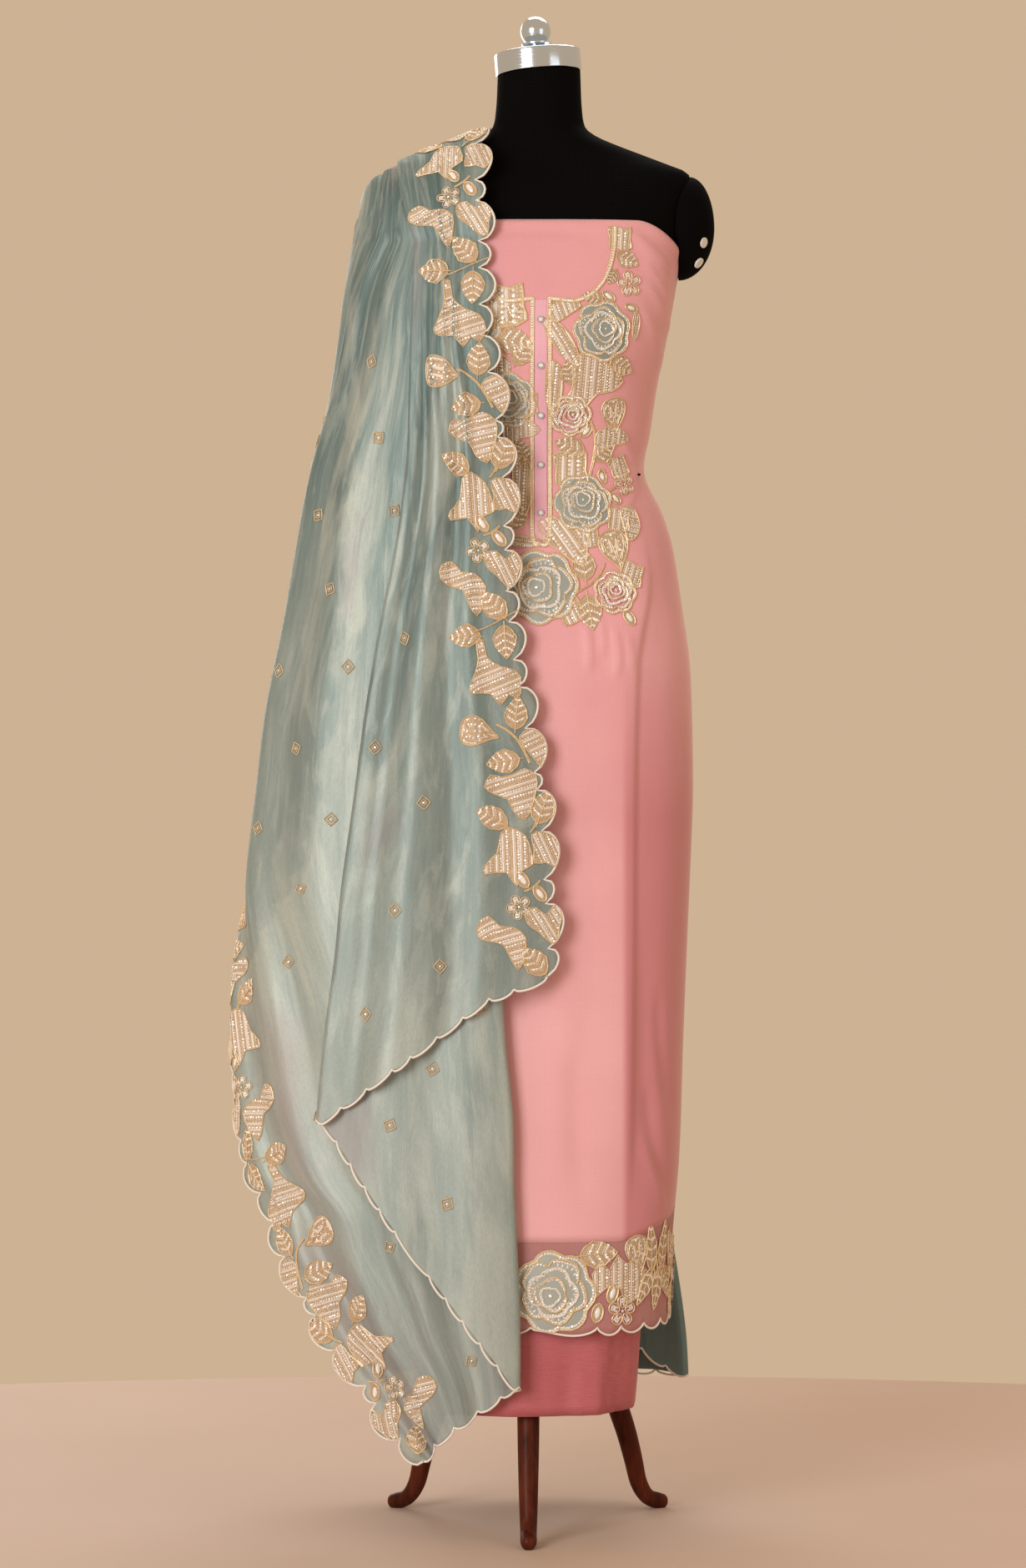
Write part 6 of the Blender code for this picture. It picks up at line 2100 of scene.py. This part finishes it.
# %% The yoke
YOKE = (  # motif, place across, height, turn in degrees, size
    ("block", 89, 1451, 0, 0.95), ("leaf", 98, 1427, -115, 0.68), ("flower", 100, 1400, 10, 0.95),
    ("leaf", 81, 1407, 150, 0.45), ("almond", 77, 1385, 52, 0.85), ("almond", 102, 1373, 75, 0.85),
    ("leaf", 59, 1383, 78, 0.6), ("fan", 27, 1369, 97, 0.85), ("bar", 27, 1332, 33, 1.05),
    ("bar", 107, 1353, -8, 0.5), ("leaf", 91, 1308, -112, 0.8), ("bell", 60, 1285, 80, 1.12),
    ("leaf", 33, 1299, 22, 0.66), ("bar", 16, 1282, -2, 0.98), ("pink_rose", 34, 1252, 0, 0.98),
    ("bud", 83, 1256, 12, 0.88), ("fan", 81, 1229, 80, 0.95), ("leaf", 34, 1218, 66, 0.86),
    ("leaf", 72, 1214, -55, 0.76), ("stem", 55, 1218, -32, 1.05), ("block", 88, 1197, 22, 0.88),
    ("flower", 95, 1178, 20, 0.86), ("almond", 70, 1186, 12, 0.85), ("almond", 85, 1161, 42, 0.85),
    ("twig", 79, 1172, -58, 0.75), ("block", 34, 1194, 4, 1.35), ("block", 88, 1137, -8, 0.95),
    ("fan", 101, 1133, -22, 0.92), ("tulip", 31, 1113, 8, 1.3), ("bud", 84, 1105, 14, 1.0),
    ("leaf", 49, 1087, 6, 0.92), ("stem", 57, 1072, -78, 0.8), ("block", 101, 1076, -16, 1.0),
    ("pink_rose", 84, 1054, 40, 1.02), ("leaf", 56, 1033, 188, 0.98), ("almond", 100, 1027, 32, 0.98),
    ("leaf", -19, 1322, -30, 0.8), ("leaf", -18, 1213, 12, 0.62), ("almond", 52, 1236, -40, 0.9),
    ("block", 34, 1034, 30, 1.0), ("block", 54, 1117, 10, 0.85),
    # between the placket and the dupatta
    ("block", -40, 1374, 8, 1.65), ("leaf", -29, 1363, -38, 0.85), ("leaf", -28, 1334, -100, 0.98),
    ("block", -14, 1266, 2, 0.85), ("bell", -24, 1233, 80, 0.76), ("leaf", -28, 1210, 22, 0.7),
    ("bar", -19, 1174, 0, 1.12), ("leaf", -25, 1138, -30, 0.8), ("bar", -20, 1112, 84, 0.72),
    ("leaf", -54, 1352, 18, 0.8),
)
YOKE_ROSES = (("rose", 69, 1345, 0, 1.0), ("other_rose", 50, 1154, 70, 0.98), ("rose", 3, 1060, 140, 1.22),
              ("other_rose", -34.5, 1268, 30, 0.92))
HIDDEN_FROM = 58  # motifs this far out are mirrored too
YOKE_SIZE = 1.1
PLACKET_MIDDLE = 1.6


def ground_grid(surface, across, up):
    return [[surface(u / across, v / up) for u in range(across + 1)] for v in range(up + 1)]


def across_middle(x):
    """The mirror image of a place, on the other side of the placket."""
    return 2 * PLACKET_MIDDLE - x


kameez_rows = ground_grid(lambda u, v: kameez_surface(u, v, True), 110, 200)
kameez_ground = Ground(kameez_rows)
for motif, x, z, degrees, size in YOKE:
    kameez_ground.lay_in_front(motif, x, z, degrees, size * YOKE_SIZE)
    if x >= HIDDEN_FROM:
        kameez_ground.lay_in_front(motif, across_middle(x), z, degrees, size * YOKE_SIZE, mirror=True)
for motif, x, z, degrees, size in YOKE_ROSES[:2]:
    kameez_ground.lay_in_front(motif, across_middle(x) - 9, z, degrees, size, mirror=True)
kameez_ground.embroidery("yoke_embroidery", "kameez_pink")
rose_ground = Ground(kameez_rows)
for rose in YOKE_ROSES:
    rose_ground.lay_in_front(*rose)
rose_ground.embroidery("yoke_roses", "rose_organza", *[f"kameez_rose_{k}" for k in (1, 2, 3, 4)])

# %% [markdown]
# Gold cord edges the scoop and both sides of the placket, two cords with a row of beads between.
# The placket is a folded strip with a pointed foot, stitched down near its edges, with five
# crystal buttons, each in a ring of silver.

# %% Scoop and placket
SCOOP = ((84, 1463), (83, 1440), (76, 1412), (62, 1391), (42, 1380), (20, 1381), (11, 1382))
PLACKET_TOP, PLACKET_SHOULDER, PLACKET_FOOT = 1382, 1118, 1108
CORD, CORD_APART, BEADS_APART = 0.85, 1.6, 2.2  # a cord's radius, its place beside the beads, their pitch


def on_front(x, z, lift):
    """A point in front of the kameez, in the frame; x, z and lift in millimetres."""
    return rose_ground.seen_at(x, z)[0] + Vector((0, -1, 0)) * (lift * MM)


def trim_cords(name, routes):
    """A gold cord on each side of a row of beads, along each route."""
    cords, beads = [], []
    for route in routes:
        line = [p / MM for p in smooth_line(route, 10)]
        ways = [(b - a).normalized() for a, b in zip(line, [*line[1:], 2 * line[-1] - line[-2]])]
        for side in (-CORD_APART, CORD_APART):
            spots = [on_front(p.x - side * w.y, p.y + side * w.x, 1.0) for p, w in zip(line, ways)]
            cords.append(cord_piece(name, spots, CORD * MM))
        for a, b in zip(line, line[1:]):
            count = max(int((b - a).length / BEADS_APART), 1)
            places = (a.lerp(b, k / count) for k in range(count))
            beads += [on_front(p.x, p.y, 1.2) for p in places]
    cord = join(name, cords)
    cord.data.materials.append(zari.made)
    stand = Matrix.Rotation(math.pi / 2, 4, "X")
    row = []
    for spot in beads:
        copy = SEQUIN.copy()
        copy.transform(Matrix.Translation(spot) @ stand)
        row.append(new_object("trim_sequin", copy))
    return finish_piece(join(name, [*row, cord]), None, "kameez_pink")


def placket_side(x):
    """The line down one side of the placket, half a millimetre wider in the middle, to its point."""
    wide = x + math.copysign(0.5, x)
    return [(x, PLACKET_TOP), (wide, 1300), (wide, 1200), (x, PLACKET_SHOULDER),
            (PLACKET_MIDDLE, PLACKET_FOOT)]


trim_cords("yoke_cords", [SCOOP, [(across_middle(x), z) for x, z in SCOOP],
                          placket_side(11.0), placket_side(-7.8)])
PLACKET_HALF, PLACKET_POINT = 7.6, 9  # half its width, and the height of its pointed foot


def placket_surface(u, v):
    height = mix(PLACKET_FOOT + 5, PLACKET_TOP - 1, v)
    half = PLACKET_HALF * min((height - PLACKET_FOOT - 4) / PLACKET_POINT, 1.0)
    across = 2 * u - 1
    edge = 1 - ease(1 - abs(across), 0.0, 0.16)
    stitch = bump_at(abs(across), 0.80, 0.05) * (0.25 + 0.1 * math.sin(height * 2.1))
    return on_front(PLACKET_MIDDLE + half * across, height, 1.7 - 0.5 * edge - stitch)


placket = lay_grid("placket", 26, 160, placket_surface, (0.0155, 0.268))
turn_outward(placket, axis_at)
smooth(placket)
thicken(placket, 0.0009, -1)
finish_piece(placket, placket_paint.made, "placket_pink", "kameez_placket")

# %% [markdown]
# A button is a low cut stone, a cone with its top cut off and its edges bevelled, in a ring of
# silver. One is modelled lying down, stood up to face the front, and copied to its five places.

# %% Buttons
BUTTON_HEIGHTS = (1358, 1307, 1252.5, 1198, 1144)
STONE, RIM = (2.9 * MM, 1.4 * MM, 1.8 * MM), (3.3 * MM, 0.6 * MM)  # two radii and a height; two radii
deselect()
bpy.ops.mesh.primitive_cone_add(vertices=8, radius1=STONE[0], radius2=STONE[1], depth=STONE[2])
stone = named("stone")
with edit_mode(stone):
    bpy.ops.mesh.bevel(offset=0.35 * MM, segments=1)
stone.data.materials.append(crystal.made)
bpy.ops.mesh.primitive_torus_add(major_radius=RIM[0], minor_radius=RIM[1], major_segments=20,
                                 minor_segments=6, location=(0, 0, -RIM[1]))
rim = named("rim")
rim.data.materials.append(chrome.made)
button = join("button", [rim, stone])
pick(button)
bpy.ops.transform.rotate(value=-math.pi / 2, orient_axis="X", center_override=(0, 0, 0))
settle(button)
buttons = []
for height in BUTTON_HEIGHTS:
    copy = new_object("button_copy", button.data.copy())
    copy.location = on_front(PLACKET_MIDDLE, height, 3.0)
    buttons.append(settle(copy))
bpy.data.objects.remove(button)
finish_piece(join("kameez_buttons", buttons), None, "crystal", *[f"kameez_button_{k}" for k in range(1, 6)])

# %% [markdown]
# A black-headed pin at the waist takes the cloth in behind the form; the creases run out from it.

# %% Waist pins
PIN_ASIDE, PIN_HEIGHT = 112, 1190
pins = []
for side in (1, -1):
    head = on_front(side * PIN_ASIDE, PIN_HEIGHT, 1.2)
    deselect()
    bpy.ops.mesh.primitive_uv_sphere_add(segments=12, ring_count=8, radius=1.0, location=head)
    bpy.ops.transform.resize(value=(2.6 * MM, 1.4 * MM, 1.5 * MM))
    pins.append(bpy.context.object)
pin = join("waist_pins", pins)
smooth(pin, 40)
finish_piece(pin, jersey.made, "form_cloth")

# %% [markdown]
# The hem band carries the same work: a large rose, a leaf, a petal with a zigzag top, a bud,
# almonds, a flower and upright leaves, four times round the tube. Its foot is bound in white.

# %% The hem band's embroidery
BAND = (  # motif, run round the tube from the rose (mm), height, turn in degrees, size
    ("leaf", 50, 321, -84, 0.95), ("zigzag", 78, 293, 0, 1.0), ("bud", 97, 321, 16, 0.82),
    ("almond", 66, 277, -18, 1.0), ("almond", 49, 256, -12, 1.0), ("flower", 78, 257, 0, 1.0),
    ("slim_leaf", 117, 325, 4, 1.0), ("slim_leaf", 110, 283, 148, 0.9), ("slim_leaf", 128, 279, 170, 0.9),
    ("slim_leaf", 140, 326, -8, 1.0), ("twig", 126, 302, 4, 0.9), ("leaf", 150, 284, 200, 0.85),
    ("bar", 164, 313, 8, 0.8), ("leaf", 184, 318, 20, 0.9), ("leaf", 176, 262, 150, 0.85),
    ("almond", 192, 288, 5, 1.0),
)
ROSE_RUN, BAND_REPEAT, ROSE_HEIGHT, BAND_SIZE = 15.5, 0.2335, 281, 1.2
RING_STEPS, RING_HEIGHT = 720, 0.285


def ring_turn(step):
    """The turn at a step of the ring round the tube, from the middle of the front."""
    return 2 * math.pi * step / RING_STEPS - math.pi / 2


ring = [tube_point(ring_turn(k), RING_HEIGHT) for k in range(RING_STEPS + 1)]
ring_runs = line_lengths(np.array([tuple(p) for p in ring]))


def band_ground(front):
    return Ground(ground_grid(lambda u, v: band_surface(u, v, front), 160, 12))


def lay_on_band(grounds, motif, run, z, degrees, size):
    turn = ring_turn(float(np.interp(run % ring_runs[-1], ring_runs, range(RING_STEPS + 1))))
    place = tube_point(turn, z * MM) + SHIFT
    ahead = tube_point(turn + 0.01, z * MM) + SHIFT
    ground = grounds[0] if math.sin(turn) < 0 else grounds[1]
    ground.lay(motif, place, ahead - place, Vector((0, 0, 1)), degrees, size)


grounds = (band_ground(True), band_ground(False))
for k in range(4):
    for motif, run, z, degrees, size in BAND:
        at = (ROSE_RUN + run) * MM + k * BAND_REPEAT
        lay_on_band(grounds, motif, at, z, degrees + random.uniform(-3, 3), BAND_SIZE * size)
    if k:
        lay_on_band(grounds, "rose", ROSE_RUN * MM + k * BAND_REPEAT, ROSE_HEIGHT, 90 * k, 1.28)
grounds[0].embroidery("band_embroidery_front", "band_organza")
grounds[1].embroidery("band_embroidery_back", "band_organza")
front_rose = (band_ground(True), None)
lay_on_band(front_rose, "other_rose", ROSE_RUN * MM, ROSE_HEIGHT, 200, 1.34)
front_rose[0].embroidery("band_rose", "rose_organza", "kameez_rose_5")

# %% [markdown]
# A cord of the kameez cloth covers the seam where the band is sewn on, and a white one binds its
# scalloped foot. Both follow the band's own surface, at its head (v = 1) and its foot (v = 0).

# %% Seam and binding
for name, v, steps, radius, look in (("band_seam", 1, 200, 1.0 * MM, kameez_paint),
                                     ("band_binding", 0, 300, 1.3 * MM, piping_paint)):
    lines = [[band_surface(k / steps, v, front) for k in range(steps + 1)] for front in (True, False)]
    sewn_cords(name, lines, radius, look, "band_organza")
